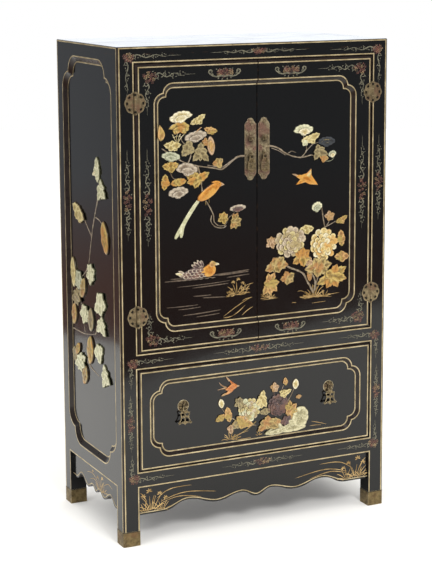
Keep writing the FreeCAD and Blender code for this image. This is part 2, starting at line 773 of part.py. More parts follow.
# ------------------------------------------------------------------ the whole cabinet
def build_case():
    """Posts, rails, boards and panels; every mortise and groove is cut by what fills it."""
    front_rails = {
        "front_top_rail": cross_rail(front_y, front_rail_back, top_rail_bottom, top_rail_top),
        "front_middle_rail": cross_rail(front_y, front_rail_back, middle_rail_bottom, middle_rail_top),
        "front_bottom_rail": cross_rail(front_y, front_rail_back, leg_height, bottom_rail_top)}
    back_rails = {
        "back_top_rail": cross_rail(back_y - back_rail_thickness, back_y, back_opening_top, top_rail_top),
        "back_bottom_rail": cross_rail(back_y - back_rail_thickness, back_y, leg_height, bottom_rail_top)}
    side_top = left_side_rail(side_opening_top, top_rail_top)
    side_bottom = left_side_rail(leg_height, side_opening_bottom)
    side_rails = {
        "left_side_top_rail": side_top,
        "left_side_bottom_rail": side_bottom,
        "right_side_top_rail": mirrored(side_top),
        "right_side_bottom_rail": mirrored(side_bottom)}
    side_panel = left_side_panel()
    panels = {
        "left_side_panel": side_panel,
        "right_side_panel": mirrored(side_panel),
        "back_board": back_panel()}

    post_blanks = four_corners(left_post_blank())
    floor_board = bottom_board(post_blanks)
    cupboard_floor = divider_board(post_blanks)
    bevels = Part.makeCompound([opening_bevel(middle_rail_top, top_rail_bottom),
                                opening_bevel(bottom_rail_top, middle_rail_bottom)])
    in_posts = Part.makeCompound(list(front_rails.values()) + list(back_rails.values())
                                 + list(side_rails.values()) + list(panels.values()))
    in_rails = Part.makeCompound(list(panels.values()) + [floor_board, cupboard_floor])

    names = ["front_left_post", "front_right_post", "back_left_post", "back_right_post"]
    for name, blank in zip(names, post_blanks):
        save(name, blank.cut(in_posts).cut(bevels))
    for name, rail in front_rails.items():
        save(name, rail.cut(in_rails).cut(bevels))
    for name, rail in list(back_rails.items()) + list(side_rails.items()):
        save(name, rail.cut(in_rails))
    for name, panel in panels.items():
        save(name, panel)

    save("bottom_board", floor_board)
    save("divider_board", cupboard_floor)
    save("divider_ledger", box(-inner_x, inner_x, back_board_front - ledger_depth, back_board_front,
                               divider_bottom - ledger_height, divider_bottom))
    save("shelf", shelf(post_blanks))
    cleat = left_shelf_cleat()
    save("shelf_cleats", cleat, mirrored(cleat))
    save("door_stop", box(-inner_x, inner_x, front_rail_back, front_rail_back + door_stop_depth,
                          top_rail_bottom - door_stop_drop, top_rail_top))
    runner = left_runner()
    save("drawer_runners", runner, mirrored(runner))
    save("foot_caps", *four_corners(foot_cap()))


def build_top_board():
    board = box(-half_width, half_width, front_y, back_y, top_rail_top, case_height)
    corners = [edge for edge in board.Edges if edge.BoundBox.ZLength > top_board_thickness / 2]
    board = board.makeChamfer(corner_bevel, corners)
    rim = [edge for edge in board.Edges if edge.BoundBox.ZMin > case_height - top_edge_bevel]
    save("top_board", board.makeChamfer(top_edge_bevel, rim))


def build_sides():
    moulding = left_side_moulding()
    save("left_side_moulding", *moulding)
    save("right_side_moulding", *[mirrored(length) for length in moulding])
    apron = left_apron()
    save("left_apron", apron)
    save("right_apron", mirrored(apron))
    save("front_apron", front_apron())


def build_doors():
    board = left_door_board()
    border = left_door_border()
    save("left_door_board", board)
    save("right_door_board", mirrored(board))
    save("left_door_border", *border)
    save("right_door_border", *[mirrored(length) for length in border])

    hinges = [left_hinge(door_bottom + hinge_inset), left_hinge(door_top - hinge_inset)]
    frame_leaves, door_leaves, pins = [list(group) for group in zip(*hinges)]
    save("left_post_hinge_leaves", *frame_leaves)
    save("right_post_hinge_leaves", *[mirrored(leaf) for leaf in frame_leaves])
    save("left_door_hinge_leaves", *door_leaves)
    save("right_door_hinge_leaves", *[mirrored(leaf) for leaf in door_leaves])
    save("hinge_pins", *(pins + [mirrored(pin) for pin in pins]))

    plate_x = -door_meeting_gap / 2 - lock_plate_inset - lock_plate_width / 2
    plate_z = door_bottom + lock_plate_rise
    plate_face = door_board_face - lock_plate_thickness
    fittings = {
        "lock_plate": lock_plate(plate_x, plate_z),
        "lock_post": lock_post(plate_x, plate_face, plate_z + lock_post_rise),
        "pull_staple": staple(plate_x, plate_face, plate_z - pull_staple_drop),
        "drop_pull": door_pull(plate_x, plate_face, plate_z - pull_staple_drop)}
    for name, piece in fittings.items():
        save("left_" + name, piece)
        save("right_" + name, mirrored(piece))


def build_drawer():
    panel = drawer_bottom_panel()
    side = left_drawer_side(panel)
    save("drawer_front_board", drawer_front_board(panel))
    save("drawer_front_border", *drawer_border())
    save("drawer_left_side", side)
    save("drawer_right_side", mirrored(side))
    save("drawer_back", drawer_back())
    save("drawer_bottom", panel)

    pull_z = drawer_bottom + drawer_pull_rise
    plate = rosette(-drawer_pull_spread, drawer_board_face, pull_z)
    plate_face = drawer_board_face - rosette_thickness
    eye = staple(-drawer_pull_spread, plate_face, pull_z)
    pull = drawer_pull(-drawer_pull_spread, plate_face, pull_z)
    save("drawer_pull_rosettes", plate, mirrored(plate))
    save("drawer_pull_staples", eye, mirrored(eye))
    save("drawer_left_pull", pull)
    save("drawer_right_pull", mirrored(pull))


os.makedirs("parts", exist_ok=True)
build_case()
build_top_board()
build_sides()
build_doors()
build_drawer()
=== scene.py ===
import math
import random

import bmesh
import bpy
from mathutils import Matrix, Vector, noise


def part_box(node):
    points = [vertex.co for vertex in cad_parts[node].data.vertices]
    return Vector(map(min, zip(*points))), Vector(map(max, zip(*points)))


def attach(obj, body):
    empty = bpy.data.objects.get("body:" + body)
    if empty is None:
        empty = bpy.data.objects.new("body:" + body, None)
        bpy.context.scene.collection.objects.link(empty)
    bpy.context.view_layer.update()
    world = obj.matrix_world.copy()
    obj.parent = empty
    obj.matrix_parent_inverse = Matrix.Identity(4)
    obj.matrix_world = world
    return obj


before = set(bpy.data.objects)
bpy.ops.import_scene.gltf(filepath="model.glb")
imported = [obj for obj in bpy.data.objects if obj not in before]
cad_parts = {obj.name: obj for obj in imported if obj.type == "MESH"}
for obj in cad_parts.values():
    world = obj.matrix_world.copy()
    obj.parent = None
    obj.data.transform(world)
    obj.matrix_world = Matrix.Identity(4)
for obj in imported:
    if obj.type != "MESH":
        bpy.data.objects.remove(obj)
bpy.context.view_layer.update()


# ---------------------------------------------------------------- camera
# Stands in front and to the left of the cabinet, a little above its top, and looks slightly down.
# Its lens is long, and its frame is shifted down to take in the feet.
camera_place = Vector((-1.80139, -3.73209, 1.4441))
camera_heading = 0.44602       # turned from straight at the doors towards the right, in radians
camera_dip = -0.16768          # downwards
camera_lean = -0.00541         # about its own line of sight
camera_data = bpy.data.cameras.new("camera")
camera = bpy.data.objects.new("camera", camera_data)
bpy.context.scene.collection.objects.link(camera)
ahead = Vector((math.sin(camera_heading) * math.cos(camera_dip),
                math.cos(camera_heading) * math.cos(camera_dip), math.sin(camera_dip)))
level_right = Vector((math.cos(camera_heading), -math.sin(camera_heading), 0))
level_up = level_right.cross(ahead)
right = level_right * math.cos(camera_lean) + level_up * math.sin(camera_lean)
up = level_up * math.cos(camera_lean) - level_right * math.sin(camera_lean)
camera.matrix_world = Matrix.Translation(camera_place) @ Matrix((right, up, -ahead)).transposed().to_4x4()
camera_data.lens = 101.45
camera_data.shift_y = -0.1114
bpy.context.scene.camera = camera
bpy.context.scene.view_settings.view_transform = "Standard"


# ---------------------------------------------------------------- floor, surroundings and lamps
# A pale paper floor that ends in front of the cabinet, so that the drawer mirrors the paper and
# the doors mirror the darker room. The lamps are soft and stand high, in front and to the left.
def srgb(code):
    """Linear colour of a hex code such as "c8923c"."""
    channels = [int(code[i:i + 2], 16) / 255 for i in (0, 2, 4)]
    return [c / 12.92 if c <= 0.04045 else ((c + 0.055) / 1.055) ** 2.4 for c in channels] + [1.0]


def add(tree, kind, inputs=None, **settings):
    """Adds a shader node with its settings; an input takes a value or another node's output."""
    made = tree.nodes.new("ShaderNode" + kind)
    for name, value in settings.items():
        setattr(made, name, value)
    for name, value in (inputs or {}).items():
        if isinstance(value, bpy.types.NodeSocket):
            tree.links.new(value, made.inputs[name])
        else:
            made.inputs[name].default_value = value
    return made


def new_material(name):
    """A new material and its node tree, still empty."""
    made = bpy.data.materials.new(name)
    made.use_nodes = True
    made.node_tree.nodes.clear()
    return made, made.node_tree


# Matt paper, with a glow for the camera alone that takes it up to white and leaves the shadow.
paper, tree = new_material("paper_floor")
path = add(tree, "LightPath")
seen = add(tree, "Math", {0: path.outputs["Is Camera Ray"], 1: path.outputs["Is Transmission Ray"]},
           operation="MAXIMUM")
matt = add(tree, "BsdfDiffuse", {"Color": srgb("f0efec")})
glow = add(tree, "Emission", {"Color": srgb("ffffff"), "Strength": 0.1})
both = add(tree, "AddShader", {0: matt.outputs[0], 1: glow.outputs[0]})
chosen = add(tree, "MixShader", {0: seen.outputs[0], 1: matt.outputs[0], 2: both.outputs[0]})
add(tree, "OutputMaterial", {"Surface": chosen.outputs[0]})

floor_left, floor_right, floor_front, floor_back = -1.78, 9.0, -1.4, 9.0
sheet = bmesh.new()
bmesh.ops.create_grid(sheet, x_segments=1, y_segments=1, size=0.5)
bmesh.ops.scale(sheet, vec=(floor_right - floor_left, floor_back - floor_front, 1), verts=sheet.verts)
bmesh.ops.translate(sheet, vec=((floor_left + floor_right) / 2, (floor_front + floor_back) / 2, 0),
                    verts=sheet.verts)
bmesh.ops.rotate(sheet, cent=(0, 0, 0), matrix=Matrix.Rotation(-camera_heading, 3, "Z"), verts=sheet.verts)
floor_mesh = bpy.data.meshes.new("floor")
sheet.to_mesh(floor_mesh)
sheet.free()
floor_mesh.materials.append(paper)
floor = bpy.data.objects.new("floor", floor_mesh)
bpy.context.scene.collection.objects.link(floor)

# The camera sees plain white. Matt faces are lit from overhead. Glossy ones mirror a dim room, which
# is pale behind the cabinet, where its top mirrors it, and has brown boards beyond the paper.
world = bpy.data.worlds.new("studio")
bpy.context.scene.world = world
world.use_nodes = True
tree = world.node_tree
tree.nodes.clear()
path = add(tree, "LightPath")
direction = add(tree, "TexCoord")
behind_cabinet = add(tree, "VectorMath", {0: direction.outputs["Generated"], 1: (0.5, 0.866, 0.0)},
                     operation="DOT_PRODUCT")
pale = add(tree, "MapRange", {"Value": behind_cabinet.outputs["Value"], "From Min": 0.72, "From Max": 0.9,
                              "To Min": 0.33, "To Max": 1.5}, interpolation_type="SMOOTHSTEP")
heights = add(tree, "SeparateXYZ", {0: direction.outputs["Generated"]})
overhead = add(tree, "MapRange", {"Value": heights.outputs["Z"], "From Min": 0.1, "From Max": 0.9,
                                  "To Min": 0.22, "To Max": 1.75})
lit = add(tree, "Background", {"Color": srgb("fbfaf8"), "Strength": overhead.outputs["Result"]})
brown_boards = add(tree, "MapRange", {"Value": heights.outputs["Z"], "From Min": -0.14, "From Max": -0.2})
room = add(tree, "MixRGB", {"Fac": brown_boards.outputs["Result"], "Color1": srgb("f0f4fa"),
                            "Color2": srgb("f8bfaf")})
mirrored_room = add(tree, "Background", {"Color": room.outputs["Color"], "Strength": pale.outputs["Result"]})
white = add(tree, "Background", {"Color": srgb("ffffff"), "Strength": 1.0})
shiny = add(tree, "MixShader", {0: path.outputs["Is Glossy Ray"], 1: lit.outputs[0],
                                2: mirrored_room.outputs[0]})
shown = add(tree, "Math", {0: path.outputs["Is Camera Ray"], 1: path.outputs["Is Transmission Ray"]},
            operation="MAXIMUM")
chosen = add(tree, "MixShader", {0: shown.outputs[0], 1: shiny.outputs[0], 2: white.outputs[0]})
add(tree, "OutputWorld", {"Surface": chosen.outputs[0]})

cabinet_middle = Vector((0, 0, 0.6))


def lamp(name, place, size, power):
    """Round lamp of a size in metres and a power in watts, turned to the middle of the cabinet."""
    light = bpy.data.lights.new(name, "AREA")
    light.shape = "DISK"
    light.size = size
    light.energy = power
    made = bpy.data.objects.new(name, light)
    bpy.context.scene.collection.objects.link(made)
    aim = cabinet_middle - Vector(place)
    made.matrix_world = Matrix.Translation(place) @ aim.to_track_quat("-Z", "Y").to_matrix().to_4x4()


lamp("key_lamp", (-0.2, -3.7, 3.1), 1.1, 92)
lamp("fill_lamp", (-3.6, -1.6, 2.4), 1.8, 40)


# ---------------------------------------------------------------- lacquered case, doors and drawer front
# Hardwood under many coats of black lacquer, each rubbed flat, so it mirrors the room with faint
# clouds. The planed bands are brown lacquer, and the arrises have worn through to the brown.
def planed_bands(tree, normal):
    """One on faces that slope or hang, nothing on those that stand or lie square to the case."""
    facing = add(tree, "VectorMath", {0: normal}, operation="ABSOLUTE")
    sides = add(tree, "SeparateXYZ", {0: facing.outputs["Vector"]})
    square = add(tree, "Math", {0: sides.outputs["X"], 1: sides.outputs["Y"]}, operation="MAXIMUM")
    square = add(tree, "Math", {0: square.outputs[0], 1: sides.outputs["Z"]}, operation="MAXIMUM")
    planed = add(tree, "MapRange", {"Value": square.outputs[0], "From Min": 0.955, "From Max": 0.93})
    heading = add(tree, "SeparateXYZ", {0: normal})
    under = add(tree, "MapRange", {"Value": heading.outputs["Z"], "From Min": -0.2, "From Max": -0.45})
    banded = add(tree, "Math", {0: planed.outputs["Result"], 1: under.outputs["Result"]}, operation="MAXIMUM")
    return banded.outputs[0]


def arris_wear_and_highlight(tree, radius, starts, full, most=1.0):
    """Grows to `most` where a normal softened over `radius` metres turns away from the face's own."""
    softened = add(tree, "Bevel", {"Radius": radius}, samples=6)
    surface = add(tree, "NewGeometry")
    flat = add(tree, "VectorMath", {0: softened.outputs["Normal"], 1: surface.outputs["Normal"]},
               operation="DOT_PRODUCT")
    wear_and_highlight = add(tree, "MapRange", {"Value": flat.outputs["Value"], "From Min": starts, "From Max": full,
                                  "To Max": most})
    return wear_and_highlight.outputs["Result"]


def lacquer(name, ground, band, wear_and_highlight, shiniest, dullest):
    """Deep gloss with faint clouds, brown bands, and arrises rubbed through in places."""
    made, tree = new_material(name)
    place = add(tree, "TexCoord")
    clouds = add(tree, "TexNoise", {"Vector": place.outputs["Object"], "Scale": 1000 / 70, "Detail": 5.0})
    rubbed = add(tree, "MapRange", {"Value": clouds.outputs["Fac"], "From Min": 0.3, "From Max": 0.7,
                                    "To Min": shiniest, "To Max": dullest})
    # Fine crazing in cells of about 9 mm, and brush marks about 3 mm apart along the boards.
    crazing = add(tree, "TexVoronoi", {"Vector": place.outputs["Object"], "Scale": 1000 / 9},
                  feature="DISTANCE_TO_EDGE")
    crack = add(tree, "MapRange", {"Value": crazing.outputs["Distance"], "From Max": 0.025})
    stretched = add(tree, "Mapping", {"Vector": place.outputs["Object"], "Scale": (1.0, 1.0, 0.08)})
    brushed = add(tree, "TexNoise", {"Vector": stretched.outputs["Vector"], "Scale": 1000 / 3, "Detail": 2.0})
    height = add(tree, "Math", {0: crack.outputs["Result"], 1: 0.25, 2: brushed.outputs["Fac"]},
                 operation="MULTIPLY_ADD")
    uneven = add(tree, "Bump", {"Height": height.outputs[0], "Strength": 0.12, "Distance": 0.0002})
    # The brown of the bands comes and goes in patches of about 18 mm, and so does the wear.
    patches = add(tree, "TexNoise", {"Vector": place.outputs["Object"], "Scale": 1000 / 18, "Detail": 6.0})
    patchy = add(tree, "MapRange", {"Value": patches.outputs["Fac"], "From Min": 0.3, "From Max": 0.55,
                                    "To Min": 0.55, "To Max": 1.0})
    banded = add(tree, "Math", {0: planed_bands(tree, place.outputs["Normal"]), 1: patchy.outputs["Result"]},
                 operation="MULTIPLY")
    colour = add(tree, "MixRGB", {"Fac": banded.outputs[0], "Color1": srgb(ground), "Color2": srgb(band)})
    rubs = add(tree, "MapRange", {"Value": patches.outputs["Fac"], "From Min": 0.5, "From Max": 0.66})
    rubbed_through = add(tree, "Math", {0: arris_wear_and_highlight(tree, 0.0016, 0.985, 0.86), 1: rubs.outputs["Result"]},
                         operation="MULTIPLY")
    colour = add(tree, "MixRGB", {"Fac": rubbed_through.outputs[0], "Color1": colour.outputs["Color"],
                                  "Color2": srgb(wear_and_highlight)})
    # The bands were never rubbed to a gloss and are equally dull all along.
    rough = add(tree, "MixRGB", {"Fac": banded.outputs[0], "Color1": rubbed.outputs["Result"],
                                 "Color2": (0.34, 0.34, 0.34, 1.0)})
    shader = add(tree, "BsdfPrincipled", {"Base Color": colour.outputs["Color"],
                                          "Roughness": rough.outputs["Color"], "IOR": 1.43,
                                          "Coat Weight": 0.12, "Coat Roughness": 0.04,
                                          "Normal": uneven.outputs["Normal"]})
    add(tree, "OutputMaterial", {"Surface": shader.outputs[0]})
    return made


def dress(material, *names):
    """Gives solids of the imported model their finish."""
    for name in names:
        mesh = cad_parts[name].data
        mesh.materials.clear()
        mesh.materials.append(material)


black_lacquer = lacquer("black_lacquer", "090909", "1c1009", "4c3420", 0.07, 0.15)
dress(black_lacquer, "front_left_post", "front_right_post", "back_left_post", "back_right_post", "top_board",
      "front_top_rail", "front_middle_rail", "front_bottom_rail", "left_side_top_rail",
      "right_side_top_rail", "left_side_bottom_rail", "right_side_bottom_rail", "left_side_panel",
      "right_side_panel", "left_side_moulding", "right_side_moulding", "front_apron", "left_apron",
      "right_apron", "left_door_board", "right_door_board", "left_door_border", "right_door_border",
      "drawer_front_board", "drawer_front_border")


# ---------------------------------------------------------------- boards inside, and the back
# Plain boards that the doors hide, with one coat of black-brown lacquer brushed on and left
# satin, so that the grain still shows. The back was coated the same way and has gone dusty.
def thin_lacquer(name, ground, grain_colour, shiniest, dullest, grain_step):
    """Satin coat that has sunk into the grain, duller in clouds about 90 mm across."""
    made, tree = new_material(name)
    place = add(tree, "TexCoord").outputs["Object"]
    # Grain lines run across the case, `grain_step` millimetres apart.
    along = add(tree, "Mapping", {"Vector": place, "Scale": (0.06, 1.0, 1.0)})
    grain = add(tree, "TexNoise", {"Vector": along.outputs["Vector"], "Scale": 1000 / grain_step,
                                   "Detail": 4.0, "Distortion": 0.4})
    pores = add(tree, "MapRange", {"Value": grain.outputs["Fac"], "From Min": 0.4, "From Max": 0.62})
    clouds = add(tree, "TexNoise", {"Vector": place, "Scale": 1000 / 90, "Detail": 3.0})
    colour = add(tree, "MixRGB", {"Fac": pores.outputs["Result"], "Color1": srgb(ground),
                                  "Color2": srgb(grain_colour)})
    dull = add(tree, "MapRange", {"Value": clouds.outputs["Fac"], "From Min": 0.3, "From Max": 0.7,
                                  "To Min": shiniest, "To Max": dullest})
    bump = add(tree, "Bump", {"Height": grain.outputs["Fac"], "Strength": 0.25, "Distance": 0.0003})
    shader = add(tree, "BsdfPrincipled", {"Base Color": colour.outputs["Color"],
                                          "Roughness": dull.outputs["Result"], "IOR": 1.5,
                                          "Normal": bump.outputs["Normal"]})
    add(tree, "OutputMaterial", {"Surface": shader.outputs[0]})
    return made


inner_lacquer = thin_lacquer("satin_brown_lacquer", "1d1410", "2b1c14", 0.35, 0.5, 5)
dress(inner_lacquer, "shelf", "shelf_cleats", "divider_board", "divider_ledger", "bottom_board", "door_stop",
      "drawer_runners", "drawer_left_side", "drawer_right_side", "drawer_back", "drawer_bottom")
back_lacquer = thin_lacquer("dusty_black_lacquer", "141312", "1c1917", 0.4, 0.6, 7)
dress(back_lacquer, "back_board", "back_top_rail", "back_bottom_rail")


# ---------------------------------------------------------------- gold lines of the frame and sides
# Lines of gold powder dusted on wet lacquer, about 3.2 mm wide and just proud of the ground. They
# run beside every edge of the frame, and have rubbed thin in places.
line_width = 3.2
line_rise = 0.25
line_inset = 2.2               # edge of a sloping wall to the middle of the line beside it
line_section = [(-0.5, 0), (-0.42, 1), (0.42, 1), (0.5, 0)]
seat = 0.15                    # how far any raised work is let into the ground
smooth_below = math.radians(38)            # faces that meet at less than this are shaded as one


def reach(name):
    """Lowest and highest corner of a solid, in millimetres."""
    low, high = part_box(name)
    return low * 1000, high * 1000


def even(share):
    """The same width from end to end."""
    return 1.0


def mitres(path, closed):
    """Offset of one unit to the left of travel at each point, lengthened where the path bends."""
    offsets = []
    for k, point in enumerate(path):
        lefts = []
        if closed or k > 0:
            step = (point - path[k - 1]).normalized()
            lefts.append(Vector((-step.y, step.x)))
        if closed or k < len(path) - 1:
            step = (path[(k + 1) % len(path)] - point).normalized()
            lefts.append(Vector((-step.y, step.x)))
        mean = sum(lefts, Vector((0, 0))).normalized()
        offsets.append(mean / max(mean.dot(lefts[0]), 0.5))
    return offsets


def joined(whole, part):
    """Adds one finished shape to another, with its faces turned outwards."""
    bmesh.ops.recalc_face_normals(part, faces=part.faces)
    step = bpy.data.meshes.new("step")
    part.to_mesh(step)
    part.free()
    whole.from_mesh(step)
    bpy.data.meshes.remove(step)


def raised_line(shape, path, width, rise, closed=False, shift=0.0, swell=even, section=line_section):
    """Bar laid along a path: a flat grid is wrapped round it and closed at its ends."""
    path = [Vector(point) for point in path]
    across = mitres(path, closed)
    spans = len(path) if closed else len(path) - 1
    rows = len(section)
    bar = bmesh.new()
    bmesh.ops.create_grid(bar, x_segments=spans, y_segments=rows, size=0.5)
    for vert in bar.verts:
        station = round((vert.co.x + 0.5) * spans)
        share, height = section[round((vert.co.y + 0.5) * rows) % rows]
        full = swell(station / spans)
        station %= len(path)
        spot = path[station] + across[station] * (shift + share * width * full)
        vert.co = (spot.x, spot.y, height * rise * full - seat)
    bmesh.ops.remove_doubles(bar, verts=bar.verts, dist=0.001)
    bmesh.ops.holes_fill(bar, edges=bar.edges, sides=0)
    joined(shape, bar)


def gold_line(shape, path, closed=False, shift=0.0):
    """Dusted line of the usual width, `shift` to the left of a path."""
    raised_line(shape, path, line_width, line_rise, closed, shift)


def up_and_over(half, level):
    """Path up one leg from its foot cap, across at a level, and down the other."""
    return [(-half, cap_top), (-half, level), (half, level), (half, cap_top)]


def rectangle(left, right, low, high):
    """Closed rectangular outline, turning to the left."""
    return [(left, low), (right, low), (right, high), (left, high)]


def cusp(corner, inward, radius, steps=7):
    """Two quarter rounds that meet in an inward cusp, from the level edge to the upright one."""
    (u, w), (du, dw) = corner, inward
    points = []
    for centre_u, centre_w in ((2, 1), (1, 2)):
        for step in range(steps + 1):
            turn = step / steps * math.pi / 2
            points.append((u + radius * du * (centre_u - math.sin(turn)),
                           w + radius * dw * (centre_w - math.cos(turn))))
    del points[steps + 1]
    return points


def cusped_outline(left, right, bottom, top, radius):
    """Closed rectangular outline with cusped corners, turning to the left."""
    return (cusp((left, top), (1, -1), radius) + cusp((left, bottom), (1, 1), radius)[::-1]
            + cusp((right, bottom), (-1, 1), radius) + cusp((right, top), (-1, -1), radius)[::-1])


def inner_radius(radius, wall):
    """Radius of a cusped corner at the foot of a wall that slopes in evenly by `wall`."""
    return radius - wall * (1 - 1 / math.sqrt(2))


def inner_outline(left, right, bottom, top, radius, wall):
    """Outline at the foot of the wall inside a cusped outline."""
    return cusped_outline(left + wall, right - wall, bottom + wall, top - wall, inner_radius(radius, wall))


def on_face(side, depth):
    """Carries a drawing in millimetres, seen from outside, onto an upright face of the case."""
    across, out = {"front": ((1, 0, 0), (0, -1, 0)), "left": ((0, -1, 0), (-1, 0, 0)),
                   "right": ((0, 1, 0), (1, 0, 0))}[side]
    turned = Matrix((across, (0, 0, 1), out)).transposed().to_4x4()
    return Matrix.Scale(0.001, 4) @ Matrix.Translation(Vector(out) * depth) @ turned


def new_shape():
    """Empty shape that can also hold, for each point, how near a stone's rim and how deep in a cut it is."""
    shape = bmesh.new()
    shape.verts.layers.float.new("rim")
    shape.verts.layers.float.new("cut")
    return shape


def lay(name, work, place, body):
    """Makes one piece of the shapes in `work`, each in its own material, and lets it ride a body."""
    mesh = bpy.data.meshes.new(name)
    whole = new_shape()
    for index, (material, shape) in enumerate(work.items()):
        for face in shape.faces:
            face.material_index = index
            face.smooth = True
        joined(whole, shape)
        mesh.materials.append(material)
    whole.transform(place)
    whole.to_mesh(mesh)
    whole.free()
    mesh.set_sharp_from_angle(angle=smooth_below)
    made = bpy.data.objects.new(name, mesh)
    bpy.context.scene.collection.objects.link(made)
    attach(made, body)


def gold_powder(name, bright, dim, ground, rubbed_share):
    """Gold dust in lacquer: warm, only half metallic, with the ground showing where it is rubbed."""
    made, tree = new_material(name)
    place = add(tree, "TexCoord").outputs["Object"]
    grains = add(tree, "TexNoise", {"Vector": place, "Scale": 1000 / 1.5, "Detail": 2.0})
    tones = add(tree, "TexNoise", {"Vector": place, "Scale": 1000 / 25, "Detail": 4.0})
    tone = add(tree, "MapRange", {"Value": tones.outputs["Fac"], "From Min": 0.35, "From Max": 0.65})
    colour = add(tree, "MixRGB", {"Fac": tone.outputs["Result"], "Color1": srgb(dim), "Color2": srgb(bright)})
    rubs = add(tree, "TexNoise", {"Vector": place, "Scale": 1000 / 9, "Detail": 7.0, "Roughness": 0.7})
    gone = add(tree, "MapRange", {"Value": rubs.outputs["Fac"], "From Min": 0.5 + 0.2 * (1 - rubbed_share),
                                  "From Max": 0.56 + 0.2 * (1 - rubbed_share)})
    colour = add(tree, "MixRGB", {"Fac": gone.outputs["Result"], "Color1": colour.outputs["Color"],
                                  "Color2": srgb(ground)})
    metal = add(tree, "MapRange", {"Value": gone.outputs["Result"], "To Min": 0.35, "To Max": 0.0})
    rough = add(tree, "MapRange", {"Value": grains.outputs["Fac"], "To Min": 0.38, "To Max": 0.55})
    bump = add(tree, "Bump", {"Height": grains.outputs["Fac"], "Strength": 0.2, "Distance": 0.0001})
    shader = add(tree, "BsdfPrincipled", {"Base Color": colour.outputs["Color"],
                                          "Metallic": metal.outputs["Result"],
                                          "Roughness": rough.outputs["Result"],
                                          "Normal": bump.outputs["Normal"]})
    add(tree, "OutputMaterial", {"Surface": shader.outputs[0]})
    return made


line_gold = gold_powder("gold_dusted_lines", "ccba92", "9c8a64", "2c241a", 0.36)
case_high = reach("top_board")[1]
post_inner = reach("front_right_post")[0].x
post_rear = -reach("front_left_post")[1].y
cap_top = reach("foot_caps")[1].z
rail_bottom = reach("front_bottom_rail")[0].z
front_plane = reach("front_middle_rail")[0].y
edge_line = 5.4                # corner of the case to the middle of the line beside it
top_edge_line = 3.3            # top of the case to the line along it
rail_line = 3.0                # foot of the front rail to the line along it
side_rail_line = 2.0           # and of the side rails
stile_line = 2.4               # side of a leg to the line down it

lines = new_shape()
top_line = case_high.z - top_edge_line
gold_line(lines, up_and_over(case_high.x - edge_line, top_line))
# Each opening's foot and head, and how far from its side, foot and head the lines run.
openings = [(reach("front_middle_rail")[1].z, reach("front_top_rail")[0].z, 2.6, 2.5, 3.9),
            (reach("front_bottom_rail")[1].z, reach("front_middle_rail")[0].z, 3.5, 2.5, 3.7)]
for bottom, top, side_gap, foot_gap, head_gap in openings:
    wide = post_inner + side_gap
    gold_line(lines, rectangle(-wide, wide, bottom - foot_gap, top + head_gap), closed=True)
gold_line(lines, up_and_over(post_inner + stile_line, rail_bottom + rail_line))
lay("front_frame_gold_lines", {line_gold: lines}, on_face("front", -front_plane), "case")

side_corner = 40.5             # radius of a cusped corner at the mouth of the sunk field
side_wall = 10.0               # how far in the moulding slopes
side_land = 1.0                # flat of the moulding outside its slope
moulding_low, moulding_high = reach("left_side_moulding")
mouth = (moulding_low.y + side_land, moulding_high.y - side_land, moulding_low.z + side_land,
         moulding_high.z - side_land)
for side in ("left", "right"):
    lines = new_shape()
    gold_line(lines, up_and_over(case_high.y - edge_line, top_line))
    gold_line(lines, up_and_over(post_rear + stile_line, rail_bottom + side_rail_line))
    gold_line(lines, cusped_outline(*mouth, side_corner), closed=True, shift=-line_inset)
    lay(side + "_side_gold_lines", {line_gold: lines}, on_face(side, case_high.x), "case")
    lines = new_shape()
    gold_line(lines, inner_outline(*mouth, side_corner, side_wall), closed=True, shift=line_inset)
    lay(side + "_sunk_field_gold_line", {line_gold: lines}, on_face(side, -moulding_high.x), "case")


# ---------------------------------------------------------------- gold lines of the doors and the drawer
# The same dusted lines round the planed edges of each front and on both sides of the sloping wall
# of its sunk field. The doors share one field, so their lines stop at the meeting edge.
door_corner, door_wall = 23.4, 7.0
door_margins = (49.7, 48.8, 49.1)          # edge of a door to the field: side, foot, head
door_lines = (8.0, 7.1, 7.3)               # and to the line inside its planed edge
meeting_gap = 0.6                          # meeting edge to the ends of the lines
drawer_corner, drawer_wall = 24.4, 6.0
drawer_margins = (30.6, 31.8, 32.4)
drawer_lines = (4.9, 5.6, 5.7)


def half_field(edge, far, bottom, top, radius):
    """Left half of a cusped outline, open at the meeting edge."""
    return ([(edge, top)] + cusp((far, top), (1, -1), radius) + cusp((far, bottom), (1, 1), radius)[::-1]
            + [(edge, bottom)])


def flipped(points):
    """The same line drawn on the other side of the case."""
    return [(-u, w) for u, w in points]


door_low, door_high = reach("left_door_board")
door_face = on_face("front", -reach("left_door_border")[0].y)
door_field = on_face("front", -door_low.y)
meeting = door_high.x - meeting_gap
far = door_low.x
side_line, foot_line, head_line = door_lines
edge_path = [(meeting, door_high.z - head_line), (far + side_line, door_high.z - head_line),
             (far + side_line, door_low.z + foot_line), (meeting, door_low.z + foot_line)]
side_margin, foot_margin, head_margin = door_margins
left, low, high = far + side_margin, door_low.z + foot_margin, door_high.z - head_margin
outer_path = half_field(meeting, left, low, high, door_corner)
inner_path = half_field(meeting, left + door_wall, low + door_wall, high - door_wall,
                        inner_radius(door_corner, door_wall))
for side, placed, out in (("left", list, 1), ("right", flipped, -1)):
    lines = new_shape()
    gold_line(lines, placed(edge_path))
    gold_line(lines, placed(outer_path), shift=-line_inset * out)
    lay(side + "_door_gold_lines", {line_gold: lines}, door_face, side + "_door")
    lines = new_shape()
    gold_line(lines, placed(inner_path), shift=line_inset * out)
    lay(side + "_door_field_gold_line", {line_gold: lines}, door_field, side + "_door")

